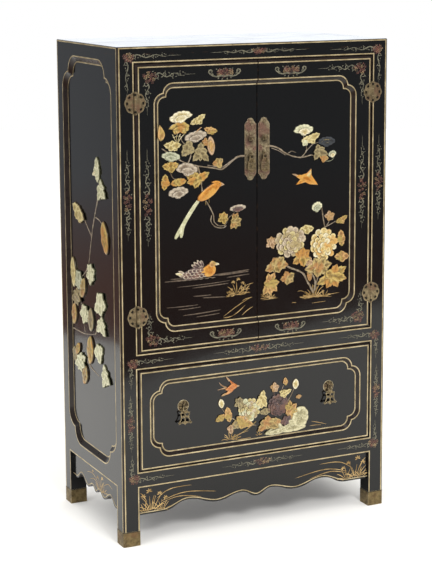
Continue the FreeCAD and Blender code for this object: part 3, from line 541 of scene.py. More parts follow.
drawer_low, drawer_high = reach("drawer_front_board")
drawer_face = on_face("front", -reach("drawer_front_border")[0].y)
drawer_field = on_face("front", -drawer_low.y)
lines = new_shape()
side_line, foot_line, head_line = drawer_lines
gold_line(lines, rectangle(drawer_low.x + side_line, drawer_high.x - side_line, drawer_low.z + foot_line,
                           drawer_high.z - head_line), closed=True)
side_margin, foot_margin, head_margin = drawer_margins
mouth = (drawer_low.x + side_margin, drawer_high.x - side_margin, drawer_low.z + foot_margin,
         drawer_high.z - head_margin)
gold_line(lines, cusped_outline(*mouth, drawer_corner), closed=True, shift=-line_inset)
lay("drawer_gold_lines", {line_gold: lines}, drawer_face, "drawer")
lines = new_shape()
gold_line(lines, inner_outline(*mouth, drawer_corner, drawer_wall), closed=True, shift=line_inset)
lay("drawer_field_gold_line", {line_gold: lines}, drawer_field, "drawer")


# ---------------------------------------------------------------- gold line and orchids on the aprons
# A dusted line follows the scallops, and orchids with long bending blades are painted in gold
# at the ends: single strokes of a loaded brush, thick in the middle and drawn out to a point.

# Where an apron's edge turns: share of its half length, and drop below its top.
front_waves = [(0.0, 69.0), (0.13, 54.0), (0.34, 67.5), (0.585, 50.5), (0.8, 71.0)]
side_waves = [(0.0, 66.0), (0.14, 55.0), (0.34, 67.0), (0.62, 47.5), (0.83, 66.0)]
apron_line_rise = 5.0          # apron's edge to the line along it
apron_line_width = line_width * 0.8
brush_section = [(-0.5, 0), (-0.3, 0.85), (0.0, 1), (0.3, 0.85), (0.5, 0)]
paint_rise = 0.3


def scallops(half_length, top, waves, steps=8):
    """Edge of an apron, level at the end of each rise and fall."""
    turns = [(half_length * share, top - drop) for share, drop in waves]
    turns = [(-u, w) for u, w in turns[:0:-1]] + turns
    points = [(-half_length, turns[0][1]), turns[0]]
    for (u0, w0), (u1, w1) in zip(turns, turns[1:]):
        for step in range(1, steps + 1):
            share = step / steps
            points.append((u0 + (u1 - u0) * share, w0 + (w1 - w0) * share ** 2 * (3 - 2 * share)))
    return points + [(half_length, turns[-1][1])]


def through(points, steps=6):
    """Smooth line through a few points."""
    points = [Vector(point) for point in points]
    ends = [points[0] * 2 - points[1]] + points + [points[-1] * 2 - points[-2]]
    line = []
    for a, b, c, d in zip(ends, ends[1:], ends[2:], ends[3:]):
        for step in range(steps):
            t = step / steps
            line.append((b * 2 + (c - a) * t + (a * 2 - b * 5 + c * 4 - d) * t ** 2
                         + (b * 3 - a - c * 3 + d) * t ** 3) / 2)
    return line + [points[-1]]


def pointed(share):
    """Full in the middle, drawn out to a point at both ends."""
    return max(4 * share * (1 - share), 0.0) ** 0.6


def drawn_out(share):
    """Full at the root, drawn out to a point."""
    return min(share * 8, 1) ** 0.5 * (1 - share) ** 0.55


def brush_stroke(shape, points, width):
    """Single stroke of a loaded brush through a few points."""
    raised_line(shape, through(points), width, paint_rise, swell=pointed, section=brush_section)


def blade(shape, root, lean, length, bend, width):
    """Blade of an orchid or grass: it leaves the root at `lean` degrees and bends over."""
    points = [root]
    heading = math.radians(lean)
    for step in range(1, 5):
        heading += math.radians(bend) / 4 * step / 2
        points.append((points[-1][0] + length / 4 * math.cos(heading),
                       points[-1][1] + length / 4 * math.sin(heading)))
    brush_stroke(shape, points, width)


def tussock(shape, root, height, count, draw):
    """Blades fanned from one root, the outer ones shorter and bent further over."""
    for k in range(count):
        share = (k + 0.5) / count
        lean = 155 - 130 * share + draw.uniform(-6, 6)
        outward = abs(share - 0.5) * 2
        bend = (90 - lean) * -0.7 + draw.uniform(-12, 12)
        length = height * (1.1 - 0.3 * outward) * draw.uniform(0.75, 1.1)
        start = (root[0] + (share - 0.5) * height * 0.4, root[1] + draw.uniform(-1.5, 1.5))
        blade(shape, start, lean, length, bend, draw.uniform(1.7, 2.7))


def orchid_flower(shape, x, y, size, turn):
    """Five short petals and a lip."""
    for petal in range(5):
        angle = math.radians(turn + petal * 52 - 104)
        tip = (x + size * math.cos(angle), y + size * math.sin(angle))
        brush_stroke(shape, [(x, y), ((x + tip[0]) / 2 + 0.4, (y + tip[1]) / 2), tip], size * 0.42)


def orchid_clump(shape, hand, root, clumps, strokes, width, flowers, draw):
    """Clumps of blades, long bending strokes and flowers under an apron's top, flipped by `hand`."""
    for x, height, count in clumps:
        tussock(shape, (hand * x, apron_top - root), height, count, draw)
    for stroke in strokes:
        brush_stroke(shape, [(hand * u, apron_top + w) for u, w in stroke], width)
    for x, w, size, turn in flowers:
        orchid_flower(shape, hand * x, apron_top + w, size, turn)


brush_gold = gold_powder("gold_brush_strokes", "cfae74", "94753f", "3a2e1c", 0.45)
draw = random.Random(11)
apron_top = rail_bottom
apron_plane = reach("front_apron")[0].y
lines = new_shape()
raised_line(lines, scallops(post_inner, apron_top, front_waves), apron_line_width, line_rise,
            shift=apron_line_rise)
orchids = new_shape()
for hand in (-1, 1):
    orchid_clump(orchids, hand, 66, ((290, 46, 11), (262, 34, 7), (306, 30, 5)),
                 (((280, -48), (200, -30), (92, -44)), ((276, -52), (215, -38), (140, -52)),
                  ((284, -40), (240, -16), (168, -14)), ((300, -44), (312, -22), (321, -14))), 2.4,
                 ((268, -24, 8, 80), (296, -14, 9, 100), (252, -36, 7, 120), (312, -26, 8, 60)), draw)
lay("front_apron_gold_line", {line_gold: lines}, on_face("front", -apron_plane), "case")
lay("front_apron_gold_orchids", {brush_gold: orchids}, on_face("front", -apron_plane), "case")
apron_plane = -reach("left_apron")[0].x
for side, hand in (("left", 1), ("right", -1)):
    lines = new_shape()
    raised_line(lines, scallops(post_rear, apron_top, side_waves), apron_line_width, line_rise,
                shift=apron_line_rise)
    lay(side + "_apron_gold_line", {line_gold: lines}, on_face(side, apron_plane), "case")
    orchids = new_shape()
    orchid_clump(orchids, hand, 56, ((30, 44, 9), (52, 30, 6)),
                 (((26, -40), (-20, -22), (-70, -30)), ((30, -46), (-10, -34), (-46, -44)),
                  ((50, -36), (84, -20), (118, -26))), 2.2,
                 ((12, -24, 7, 80), (44, -18, 8, 100), (-20, -16, 6, 120)), draw)
    lay(side + "_apron_gold_orchids", {brush_gold: orchids}, on_face(side, apron_plane), "case")


# ---------------------------------------------------------------- painted sprays on the frame and doors
# Scrolling stems in dull grey-green oil paint with small red and gold blossoms, raised by the
# thickness of the paint. They sit in the corners, the middles and beside the doors.
def oil_paint(name, light, dark, ground):
    """Satin paint laid on thinly: it has faded unevenly and shows the lacquer where it is thin."""
    made, tree = new_material(name)
    place = add(tree, "TexCoord").outputs["Object"]
    strokes = add(tree, "TexNoise", {"Vector": place, "Scale": 1000 / 6, "Detail": 5.0})
    tone = add(tree, "MapRange", {"Value": strokes.outputs["Fac"], "From Min": 0.35, "From Max": 0.65})
    colour = add(tree, "MixRGB", {"Fac": tone.outputs["Result"], "Color1": srgb(dark), "Color2": srgb(light)})
    thin = add(tree, "TexNoise", {"Vector": place, "Scale": 1000 / 14, "Detail": 6.0})
    gone = add(tree, "MapRange", {"Value": thin.outputs["Fac"], "From Min": 0.54, "From Max": 0.74})
    colour = add(tree, "MixRGB", {"Fac": gone.outputs["Result"], "Color1": colour.outputs["Color"],
                                  "Color2": srgb(ground)})
    bump = add(tree, "Bump", {"Height": strokes.outputs["Fac"], "Strength": 0.3, "Distance": 0.0002})
    shader = add(tree, "BsdfPrincipled", {"Base Color": colour.outputs["Color"], "Roughness": 0.5, "IOR": 1.5,
                                          "Normal": bump.outputs["Normal"]})
    add(tree, "OutputMaterial", {"Surface": shader.outputs[0]})
    return made


green_paint = oil_paint("grey_green_oil_paint", "7a7560", "525040", "201e18")
red_paint = oil_paint("dull_red_oil_paint", "7a483a", "54302a", "241814")
tan_paint = oil_paint("tan_oil_paint", "a08660", "70593a", "2a2218")
stem_width = 3.6


def set_down(points, x, y, turn=0.0, hand=1):
    """Carries a drawn line to its place: flipped by `hand`, turned by `turn` degrees and moved."""
    c, s = math.cos(math.radians(turn)), math.sin(math.radians(turn))
    return [(x + u * c - hand * w * s, y + u * s + hand * w * c) for u, w in points]


def volute(radius, hand, turns=1.2, steps=12):
    """Spiral that leaves the origin level and winds in on itself."""
    points = []
    for step in range(steps + 1):
        share = step / steps
        angle = share * turns * 2 * math.pi
        size = radius * (1 - 0.7 * share)
        points.append((size * math.sin(angle), hand * (radius - size * math.cos(angle))))
    return points


def dab(shape, x, y, turn, length, width):
    """One touch of the brush."""
    raised_line(shape, set_down([(0, 0), (length * 0.35, 0.4), (length * 0.7, 0.3), (length, 0)], x, y, turn),
                width, paint_rise, swell=pointed, section=brush_section)


def blossom(work, x, y, radius, draw):
    """Five touches round a tan one, in red or now and then in tan as well."""
    paint = work[draw.choice((red_paint, red_paint, tan_paint))]
    start = draw.uniform(0, 72)
    for petal in range(5):
        angle = start + petal * 72
        c, s = math.cos(math.radians(angle)), math.sin(math.radians(angle))
        dab(paint, x + radius * 0.25 * c, y + radius * 0.25 * s, angle, radius, radius * 0.7)
    dab(work[tan_paint], x - radius * 0.3, y, 0, radius * 0.6, radius * 0.5)


def cluster(work, x, y, half_across, half_up, count, draw):
    """Close bunch of small blossoms, with slanting touches of all three paints standing out round it."""
    for k in range(count):
        angle, out = k * 2.4, math.sqrt((k + 0.4) / count)
        blossom(work, x + half_across * out * math.cos(angle), y + half_up * out * math.sin(angle),
                draw.uniform(3.4, 4.8), draw)
    for k in range(count):
        angle = 2 * math.pi * k / count + draw.uniform(-0.2, 0.2)
        dab(work[draw.choice((green_paint, red_paint, tan_paint))], x + half_across * 0.9 * math.cos(angle),
            y + half_up * 0.9 * math.sin(angle), draw.uniform(10, 60), draw.uniform(5, 7.5), 2.6)


def tendril(green, x, y, turn, length, height, waves, hand=1):
    """Ribbon laid in waves, with a scroll in every bend, run out in one fine straight line."""
    waving = length * 0.7
    swing = height * 0.24
    shares = [step / (waves * 8) for step in range(waves * 8 + 1)]
    stem = [(waving * share, swing * (1 - 0.6 * share) * math.sin(share * waves * math.pi))
            for share in shares]
    raised_line(green, set_down(stem, x, y, turn, hand), stem_width, paint_rise,
                swell=lambda share: 1 - 0.5 * share, section=brush_section)
    line = [(waving - 1 + (length - waving) * share, 0) for share in (0.0, 0.3, 0.65, 1.0)]
    raised_line(green, set_down(line, x, y, turn, hand), 1.6, paint_rise,
                swell=lambda share: 1 - 0.6 * share, section=brush_section)
    for wave in range(waves):
        inward = -1 if wave % 2 == 0 else 1
        start = waving * (wave + 0.15) / waves
        radius = height * 0.25 * (1 - 0.45 * wave / waves)
        curl = [(start + u, inward * -swing * 0.6 + w) for u, w in volute(radius, inward)]
        raised_line(green, set_down(curl, x, y, turn, hand), stem_width * 0.75, paint_rise, swell=drawn_out,
                    section=brush_section)
        for along, off, lean, long in ((1.7, 1.1, -25, 1.5), (2.5, -0.8, 30, 1.3), (0.2, 1.0, 50, 1.2),
                                       (3.2, 0.5, -10, 1.1)):
            tip_x, tip_y = set_down([(start + radius * along, inward * swing * off)], x, y, turn, hand)[0]
            dab(green, tip_x, tip_y, turn + hand * inward * lean, radius * long, 2.6)


def corner_spray(work, x, y, across, along, drop, height, draw):
    """Bunch of blossoms in a corner, with one arm level and one upright."""
    green = work[green_paint]
    down = math.copysign(1, drop)
    cluster(work, x + across * height * 0.3, y - down * height * 0.16, height * 0.72, height * 0.56, 11, draw)
    tendril(green, x + across * height * 0.9, y, 0 if across > 0 else 180, along - height * 0.9, height, 4,
            across)
    tendril(green, x, y - down * height * 0.7, -90 * down, abs(drop) - height * 0.7, height, 3, across)


def middle_spray(work, x, y, turn, half, height, draw, shift=0.0):
    """Long bunch of blossoms with a tendril to each side."""
    upright = turn == 90
    cluster(work, x, y, height * (0.42 if upright else 1.2), height * (1.2 if upright else 0.42), 10, draw)
    for way in (0, 180):
        start = set_down([(height * 1.1, 0)], x, y, turn + way)[0]
        reach_out = half + (shift if way else -shift) - height * 1.1
        tendril(work[green_paint], *start, turn + way, reach_out, height, 4, hand=1 if way else -1)


def bracket_spray(work, x, y, width, height, draw):
    """Bunch of blossoms over a hanging ribbon, that rises to a round volute at each end."""
    green = work[green_paint]
    hanging_ribbon = ((0.0, -0.36), (0.12, -0.3), (0.24, -0.38), (0.34, -0.3), (0.42, -0.12), (0.47, 0.08),
                      (0.46, 0.26), (0.4, 0.32), (0.36, 0.2), (0.38, 0.1))
    for way in (1, -1):
        ribbon = [(way * width * u, height * w) for u, w in hanging_ribbon]
        raised_line(green, set_down(ribbon, x, y), stem_width * 1.25, paint_rise,
                    swell=lambda share: 1.1 - 0.4 * share, section=brush_section)
        for share, up, lean, long in ((0.34, -0.04, 40, 0.4), (0.3, -0.16, 20, 0.44),
                                      (0.06, -0.46, -70, 0.34), (0.16, -0.42, -50, 0.3), (0.2, 0.3, 30, 0.3)):
            tip_x, tip_y = set_down([(way * width * share, height * up)], x, y)[0]
            dab(green, tip_x, tip_y, lean if way > 0 else 180 - lean, height * long, 3.4)
    cluster(work, x, y, width * 0.25, height * 0.36, 17, draw)


def new_painting():
    """An empty shape for each paint."""
    return {green_paint: new_shape(), red_paint: new_shape(), tan_paint: new_shape()}


# On the frame the sprays run midway between the gold lines of legs and rails.
beside_opening, above_opening, below_opening = 3.0, 4.0, 2.5
stile = (case_high.x - edge_line + post_inner + beside_opening) / 2
rail_top = (top_line + openings[0][1] + above_opening) / 2
rail_middle = (openings[0][0] + openings[1][1]) / 2
rail_low = (openings[1][0] - below_opening + rail_bottom + rail_line) / 2
beside_doors = (openings[0][0] + openings[0][1]) / 2 + 26
beside_drawer = (openings[1][0] + openings[1][1]) / 2 - 4
frame_height = 22.0
corner_inset = 2.0             # how much nearer the middle a corner's bunch sits than its upright arm
work = new_painting()
draw = random.Random(3)
for hand in (1, -1):
    corner = -hand * (stile - corner_inset)
    corner_spray(work, corner, rail_top - 3, hand, 150, 122, frame_height * 0.8, draw)
    corner_spray(work, corner, rail_middle, hand, 120, 70, frame_height * 0.8, draw)
    corner_spray(work, corner, rail_low, hand, 120, -70, frame_height * 0.8, draw)
    middle_spray(work, hand * stile, beside_doors, 90, 116, frame_height, draw, -14)
    middle_spray(work, hand * stile, beside_drawer, 90, 76, frame_height * 0.8, draw)
middle_spray(work, 5, rail_top, 0, 140, frame_height * 0.66, draw)
middle_spray(work, 5, rail_middle, 0, 134, frame_height * 0.9, draw)
middle_spray(work, 14, rail_low, 0, 122, frame_height * 0.8, draw)
lay("frame_painted_sprays", work, on_face("front", -front_plane), "case")

door_stile = -far - (door_lines[0] + door_margins[0] - line_inset) / 2
door_head = door_high.z - (door_lines[2] + door_margins[2] - line_inset) / 2
door_foot = door_low.z + (door_lines[1] + door_margins[1] - line_inset) / 2
door_middle = (door_low.z + door_high.z) / 2 + 12
spray_height = 24.0
for side, hand in (("left", 1), ("right", -1)):
    work = new_painting()
    corner = -hand * (door_stile - corner_inset)
    corner_spray(work, corner, door_head, hand, 134, 100, spray_height, draw)
    corner_spray(work, corner, door_foot, hand, 120, -76, spray_height, draw)
    middle_spray(work, -hand * door_stile, door_middle, 90, 126, spray_height, draw, -20)
    bracket_spray(work, -hand * 90, door_head, 90, 24, draw)
    bracket_spray(work, -hand * 90, door_foot, 90, 24, draw)
    lay(side + "_door_painted_sprays", work, door_face, side + "_door")


# ---------------------------------------------------------------- stones of the left door
# Thin slices of soapstone, agate and jade, sawn to outline, rounded over, engraved and glued on:
# a branch of blossom from the edge, a long-tailed bird on it, and a duck on painted water below.

# Sections of a stone from its rim inwards, as shares of its outline and of its height.
rounded_over = [(1.0, -0.1), (1.0, 0.5), (0.94, 0.84), (0.8, 0.97), (0.55, 1.0), (0.22, 1.0)]
cupped = [(1.0, -0.1), (1.0, 0.75), (0.93, 1.0), (0.78, 0.9), (0.52, 0.7), (0.22, 0.66)]
half_round = [(-0.5, -0.1), (-0.46, 0.45), (-0.26, 0.88), (0, 1), (0.26, 0.88), (0.46, 0.45), (0.5, -0.1)]


def cut_stone(name, light, dark, edge, patch=None, gloss=0.3):
    """Polished soft stone: clouded, paler towards its rims as a painted highlight, and dark in its cuts and
    at its glued edge with dirt and painted shade.
    """
    made, tree = new_material(name)
    place = add(tree, "TexCoord").outputs["Object"]
    rim = add(tree, "Attribute", attribute_name="rim")
    cut = add(tree, "Attribute", attribute_name="cut")
    # Clouds about 12 mm across, patches about 22 mm, fine veins, and pits under a millimetre.
    clouds = add(tree, "TexNoise", {"Vector": place, "Scale": 1000 / 12, "Detail": 6.0, "Distortion": 1.2})
    # Painted highlight: the tone is raised towards the rim, where the rounded edge would catch the light.
    wear_and_highlight = add(tree, "MapRange", {"Value": rim.outputs["Fac"], "From Min": 0.5, "From Max": 0.85,
                                  "To Max": 0.28})
    tone = add(tree, "Math", {0: clouds.outputs["Fac"], 1: wear_and_highlight.outputs["Result"]}, operation="ADD")
    tone = add(tree, "MapRange", {"Value": tone.outputs[0], "From Min": 0.42, "From Max": 0.72})
    colour = add(tree, "MixRGB", {"Fac": tone.outputs["Result"], "Color1": srgb(dark), "Color2": srgb(light)})
    if patch:
        areas = add(tree, "TexNoise", {"Vector": place, "Scale": 1000 / 22, "Detail": 4.0})
        area = add(tree, "MapRange", {"Value": areas.outputs["Fac"], "From Min": 0.48, "From Max": 0.58,
                                      "To Max": 0.8})
        colour = add(tree, "MixRGB", {"Fac": area.outputs["Result"], "Color1": colour.outputs["Color"],
                                      "Color2": srgb(patch)})
    veins = add(tree, "TexNoise", {"Vector": place, "Scale": 1000 / 6, "Detail": 3.0, "Distortion": 2.5})
    vein = add(tree, "MapRange", {"Value": veins.outputs["Fac"], "From Min": 0.56, "From Max": 0.68,
                                  "To Max": 0.36})
    # Dark at the glued edge and in the cuts: dirt, with painted shade where the gap round the stone and the
    # cuts would lie in shadow.
    dirt_and_shade = add(tree, "MapRange", {"Value": rim.outputs["Fac"], "From Min": 0.9})
    dirt_and_shade = add(tree, "Math", {0: dirt_and_shade.outputs["Result"], 1: vein.outputs["Result"]}, operation="MAXIMUM")
    caked_and_shaded = add(tree, "Math", {0: cut.outputs["Fac"], 1: 0.62}, operation="MULTIPLY")
    dirt_and_shade = add(tree, "Math", {0: dirt_and_shade.outputs[0], 1: caked_and_shaded.outputs[0]}, operation="MAXIMUM")
    colour = add(tree, "MixRGB", {"Fac": dirt_and_shade.outputs[0], "Color1": colour.outputs["Color"],
                                  "Color2": srgb(edge)})
    pits = add(tree, "TexNoise", {"Vector": place, "Scale": 1000 / 0.9, "Detail": 2.0})
    bump = add(tree, "Bump", {"Height": pits.outputs["Fac"], "Strength": 0.15, "Distance": 0.0002})
    rough = add(tree, "MapRange", {"Value": pits.outputs["Fac"], "To Min": gloss - 0.06,
                                   "To Max": gloss + 0.12})
    shader = add(tree, "BsdfPrincipled", {"Base Color": colour.outputs["Color"],
                                          "Roughness": rough.outputs["Result"], "IOR": 1.52,
                                          "Normal": bump.outputs["Normal"]})
    add(tree, "OutputMaterial", {"Surface": shader.outputs[0]})
    return made


# Each stone has light and dark clouds, a dark colour for the dirt and painted shade in its cuts and at its
# edge, and some have patches of another colour.
cream = cut_stone("cream_soapstone", "efe6c4", "c4b078", "5e4a28")
straw = cut_stone("straw_soapstone", "d8c890", "a08a50", "4a3a1e")
ochre = cut_stone("ochre_soapstone", "c4a860", "84692f", "30200f", "bb823c")
honey = cut_stone("honey_soapstone", "baa268", "7c6636", "30220f", "b07c46")
olive = cut_stone("olive_soapstone", "a6966c", "6e6040", "30281a")
carnelian = cut_stone("carnelian", "cc7e40", "9c5220", "48220e", "d8a068", gloss=0.24)
amber = cut_stone("orange_agate", "d6943e", "a86a22", "4c2a10", "d8a450", gloss=0.24)
apricot = cut_stone("apricot_soapstone", "cfa66a", "94693a", "38220f", "a8924c")
blush = cut_stone("blush_soapstone", "c8a884", "8c6c4a", "38261a", "b08a54")
jade = cut_stone("pale_jade", "e0dcb8", "b2b088", "5e5e40")
sea_jade = cut_stone("sea_green_jade", "c4c4a6", "8e9072", "484a36")
rose = cut_stone("rose_grey_soapstone", "c6b7a0", "857460", "3c3026")
petal_rose = cut_stone("rose_cream_soapstone", "d2c0a2", "94806a", "463628", "a89460")
petal_gold = cut_stone("yellow_cream_soapstone", "ecd89c", "b89a56", "543e1c", "d09c50")
plum = cut_stone("plum_soapstone", "6a5350", "3c2e2a", "1a1310", "7c5a4c")
rock_stone = cut_stone("pale_veined_soapstone", "d6cea6", "968e68", "4a442c")
twig_stone = cut_stone("grey_branch_soapstone", "b0a088", "786852", "342a20")
ink = cut_stone("black_slate", "3c4044", "1b1c1e", "0f0e0e")


def carve(work, stone, outline, rise, place, steps=36, profile=rounded_over, relief=None):
    """Slice of stone cut to an outline and worked inwards ring by ring from its rim."""
    slice_of = bmesh.new()
    rim = slice_of.verts.layers.float.new("rim")
    cut = slice_of.verts.layers.float.new("cut")
    turns = [2 * math.pi * k / steps for k in range(steps)]
    for corner in getattr(outline, "corners", ()):
        turns[round(corner / (2 * math.pi) * steps) % steps] = corner
    bmesh.ops.create_circle(slice_of, cap_ends=False, radius=1.0, segments=steps)
    verts, edges = slice_of.verts[:], slice_of.edges[:]
    for ring, (share, height) in enumerate(profile):
        if ring:
            grown = bmesh.ops.extrude_edge_only(slice_of, edges=edges)["geom"]
            verts = [part for part in grown if isinstance(part, bmesh.types.BMVert)]
            edges = [part for part in grown if isinstance(part, bmesh.types.BMEdge)]
        for vert in verts:
            turn = math.atan2(vert.co.y, vert.co.x)
            if not ring:
                turn = turns[round(turn / (2 * math.pi) * steps) % steps]
            size = outline(turn) * share
            worked = relief(turn, share) if relief else 1.0
            vert.co = (size * math.cos(turn), size * math.sin(turn), height * rise * worked)
            vert[rim] = share
            # A cut is painted at its darkest, as shade and dirt, where it takes nearly half of the height
            # away.
            vert[cut] = min(max(1 - worked, 0.0) * 2.2, 1.0) if share < 0.99 else 0.0
    bmesh.ops.holes_fill(slice_of, edges=slice_of.edges, sides=0)
    slice_of.transform(place)
    joined(work.setdefault(stone, new_shape()), slice_of)


def at(x, y, turn=0.0, lift=0.0, tilt=0.0):
    """Place of a stone on its ground: turned in the plane, then tipped up at its outer end."""
    return (Matrix.Translation((x, y, lift)) @ Matrix.Rotation(math.radians(turn), 4, "Z")
            @ Matrix.Rotation(math.radians(-tilt), 4, "Y"))


def sawn(corners, bulge=0.0, teeth=0.0):
    """Outline through corners seen from the middle, rounded out and toothed between two of them."""
    around = sorted((math.atan2(v, u) % (2 * math.pi), u, v) for u, v in corners)

    def outline(turn):
        turn %= 2 * math.pi
        k = 0
        while k < len(around) and around[k][0] < turn - 1e-6:
            k += 1
        end, u2, v2 = around[k % len(around)]
        start, u1, v1 = around[k - 1]
        share = ((turn - start) % (2 * math.pi)) / ((end - start) % (2 * math.pi))
        across = math.cos(turn) * (v2 - v1) - math.sin(turn) * (u2 - u1)
        tooth = teeth * abs((share * 3) % 1 - 0.5) * 2 * math.sin(share * math.pi)
        return (u1 * v2 - u2 * v1) / across * (1 + bulge * math.sin(share * math.pi) - tooth)
    outline.corners = [turn for turn, u, v in around]
    return outline


def spindle(length, width, fullness=1.5):
    """Outline pointed at both ends."""
    def outline(turn):
        return 1 / ((abs(math.cos(turn)) * 2 / length) ** fullness
                    + (abs(math.sin(turn)) * 2 / width) ** fullness) ** (1 / fullness)
    return outline


def veined(corners, depth, to_tips=True):
    """Relief cut from the middle to each corner that stands out, or else to each hollow between."""
    around = sorted((math.atan2(v, u), math.hypot(u, v)) for u, v in corners)
    ends = [turn for k, (turn, out) in enumerate(around)
            if not to_tips or (out > around[k - 1][1] and out > around[(k + 1) % len(around)][1])]

    def relief(turn, share):
        away = min(abs((turn - end + math.pi) % (2 * math.pi) - math.pi) for end in ends)
        fading = 1.0 if not to_tips else min((1 - share) * 6, 1.0)
        return 1 - depth * fading * math.exp(-(away / 0.05) ** 2)
    return relief


# Kinds of leaf, as the points of their lobes in a square one unit wide.
drooping = [(-0.5, -0.3), (-0.16, 0.46), (0.3, 0.46), (0.5, -0.04), (0.1, -0.5)]
spreading = [(-0.5, -0.06), (-0.16, 0.46), (0.26, 0.44), (0.5, 0.12), (0.36, -0.3), (-0.06, -0.5)]
serrated = [(-0.5, -0.3), (-0.2, -0.5), (0.16, -0.5), (0.44, -0.16), (0.44, 0.34), (0.14, 0.48), (-0.24, 0.2)]
sidelong = [(-0.5, -0.08), (-0.12, 0.46), (0.5, 0.06), (0.12, -0.48)]
spade = [(-0.5, 0.16), (0.0, 0.46), (0.5, 0.16), (0.06, -0.5)]
forked = [(-0.48, 0.3), (-0.14, 0.46), (0.5, 0.4), (0.24, -0.06), (-0.12, -0.5), (-0.46, -0.14)]
hanging = [(0.06, 0.46), (0.42, 0.04), (0.48, -0.46), (0.0, -0.44), (-0.46, -0.42), (-0.34, 0.1)]
half_star = [(-0.5, 0.12), (-0.02, 0.5), (0.5, 0.1), (0.28, -0.4), (-0.22, -0.4)]
winged = [(-0.5, -0.34), (0.1, 0.24), (0.5, 0.5), (0.3, -0.36), (-0.1, -0.4)]
flame = [(-0.04, 0.5), (0.4, -0.14), (0.1, -0.5), (-0.42, -0.2)]
lobe = [(-0.5, 0.0), (-0.34, 0.3), (0.0, 0.5), (0.04, 0.38), (0.3, 0.34), (0.3, 0.24), (0.5, 0.0),
        (0.3, -0.24), (0.3, -0.34), (0.04, -0.38), (0.0, -0.5), (-0.34, -0.3)]


def leaf(work, stone, shape, x, y, width, height, turn=0.0, hand=1, lift=0.0, rise=3.0, depth=0.4):
    """Leaf of several toothed lobes round one middle, each with a vein cut to its point."""
    tips = [(hand * u * width, v * height) for u, v in shape]
    broad = sum(math.hypot(u, v) for u, v in tips) / len(tips) * (1.66 - 0.13 * len(tips))

    def vein(angle, share):
        fading = min((1 - share) * 6, 1.0) * (share > 0.1)
        return 1 - depth * fading * math.exp(-(math.sin(angle) * share / 0.1) ** 2)

    for k, (u, v) in enumerate(tips):
        corners = [(a * math.hypot(u, v) * 1.2, b * broad) for a, b in lobe]
        centre = set_down([(u * 0.4, v * 0.4)], x, y, turn)[0]
        heading = turn + math.degrees(math.atan2(v, u))
        stacked = lift + 0.45 * ((k * 2) % len(tips))
        carve(work, stone, sawn(corners, 0.05), rise - 0.8, at(*centre, heading, stacked, 2), relief=vein)


# Shapes of an open flower seen from the side, one unit wide and one high.
open_fan = [(-0.5, -0.12), (-0.36, 0.14), (-0.16, 0.4), (0.04, 0.46), (0.24, 0.48), (0.47, 0.28), (0.5, 0.04),
            (0.24, -0.14), (0.07, -0.5), (-0.1, -0.4), (-0.3, -0.4)]
parasol = [(-0.5, -0.04), (-0.2, 0.36), (0.12, 0.5), (0.42, 0.32), (0.5, -0.0), (0.38, -0.3), (0.24, -0.46),
           (0.08, -0.24), (-0.18, -0.5), (-0.28, -0.1)]
lens = [(-0.5, -0.04), (-0.34, 0.3), (-0.1, 0.44), (0.14, 0.5), (0.34, 0.38), (0.5, 0.14), (0.38, -0.12),
        (0.14, -0.34), (0.0, -0.5), (-0.2, -0.34), (-0.38, -0.26)]


def side_blossom(work, stone, shape, x, y, width, height, turn=0.0, hand=1, front=None):
    """Open flower seen from the side: a fan of petals cut apart, with a shorter row before it."""
    for row, share, drop, lift in ((stone, 1.0, 0.0, 0.0), (front or stone, 0.62, 0.14, 1.5)):
        corners = [(hand * u * width * share, v * height * share) for u, v in shape]
        u, w = set_down([(0, -height * drop)], x, y, turn)[0]
        carve(work, row, sawn(corners, 0.15), 2.1, at(u, w, turn, lift), steps=72, profile=cupped,
              relief=veined(corners, 0.3, to_tips=False))


def feathers(count, depth):
    """Relief of overlapping feathers across a wing or breast."""
    def relief(turn, share):
        return 1 - depth * (0.5 + 0.5 * math.cos(count * turn)) * share ** 2
    return relief


petal_shape = [(-0.44, 0.0), (-0.3, 0.2), (0.16, 0.36), (0.42, 0.24), (0.5, 0.0), (0.42, -0.24),
               (0.16, -0.36), (-0.3, -0.2)]
# A peony's tiers from its outside in: how far out, how many petals, and their length and breadth,
# as shares of half its width.
peony_tiers = ((0.76, 13, 0.54, 0.56), (0.54, 11, 0.5, 0.5), (0.34, 8, 0.44, 0.44), (0.13, 4, 0.38, 0.4))


def peony(work, stones, x, y, width, height, seed):
    """Peony seen from the front: tiers of scooped petals, each tier higher and nearer its heart."""
    draw = random.Random(seed)
    for tier, (out, count, length, breadth) in enumerate(peony_tiers):
        for k in range(count):
            angle = 360 * (k + 0.5 * (tier % 2) + draw.uniform(-0.15, 0.15)) / count + 90
            c, s = math.cos(math.radians(angle)), math.sin(math.radians(angle))
            reach_out = out * draw.uniform(0.9, 1.04)
            u, w = x + width / 2 * reach_out * c, y + height / 2 * (reach_out * s - 0.06 * tier)
            long = width / 2 * length * draw.uniform(0.9, 1.1)
            broad = width / 2 * breadth * draw.uniform(0.9, 1.15)
            corners = [(a * long, b * broad) for a, b in petal_shape]
            heading = math.degrees(math.atan2(height * s, width * c)) + draw.uniform(-8, 8)
            carve(work, stones[(k * 7 + tier) % len(stones)], sawn(corners, 0.12), 2.0,
                  at(u, w, heading, 0.9 * tier + 0.35 * (k % 2), 6), profile=cupped, relief=feathers(9, 0.16))


def bud(work, stone, x, y, length, width, turn=90.0, rise=3.4, core=None):
    """Closed bud or seed pod with three cuts along it, and sometimes a core of another stone."""
    carve(work, stone, spindle(length, width, 1.7), rise, at(x, y, turn), steps=40,
          relief=lambda angle, share: 1 - 0.2 * abs(math.cos(2.5 * angle)) ** 6)
    if core:
        carve(work, core, spindle(length * 0.66, width * 0.5, 1.6), 1.5, at(x, y, turn, rise - 0.8), steps=28)


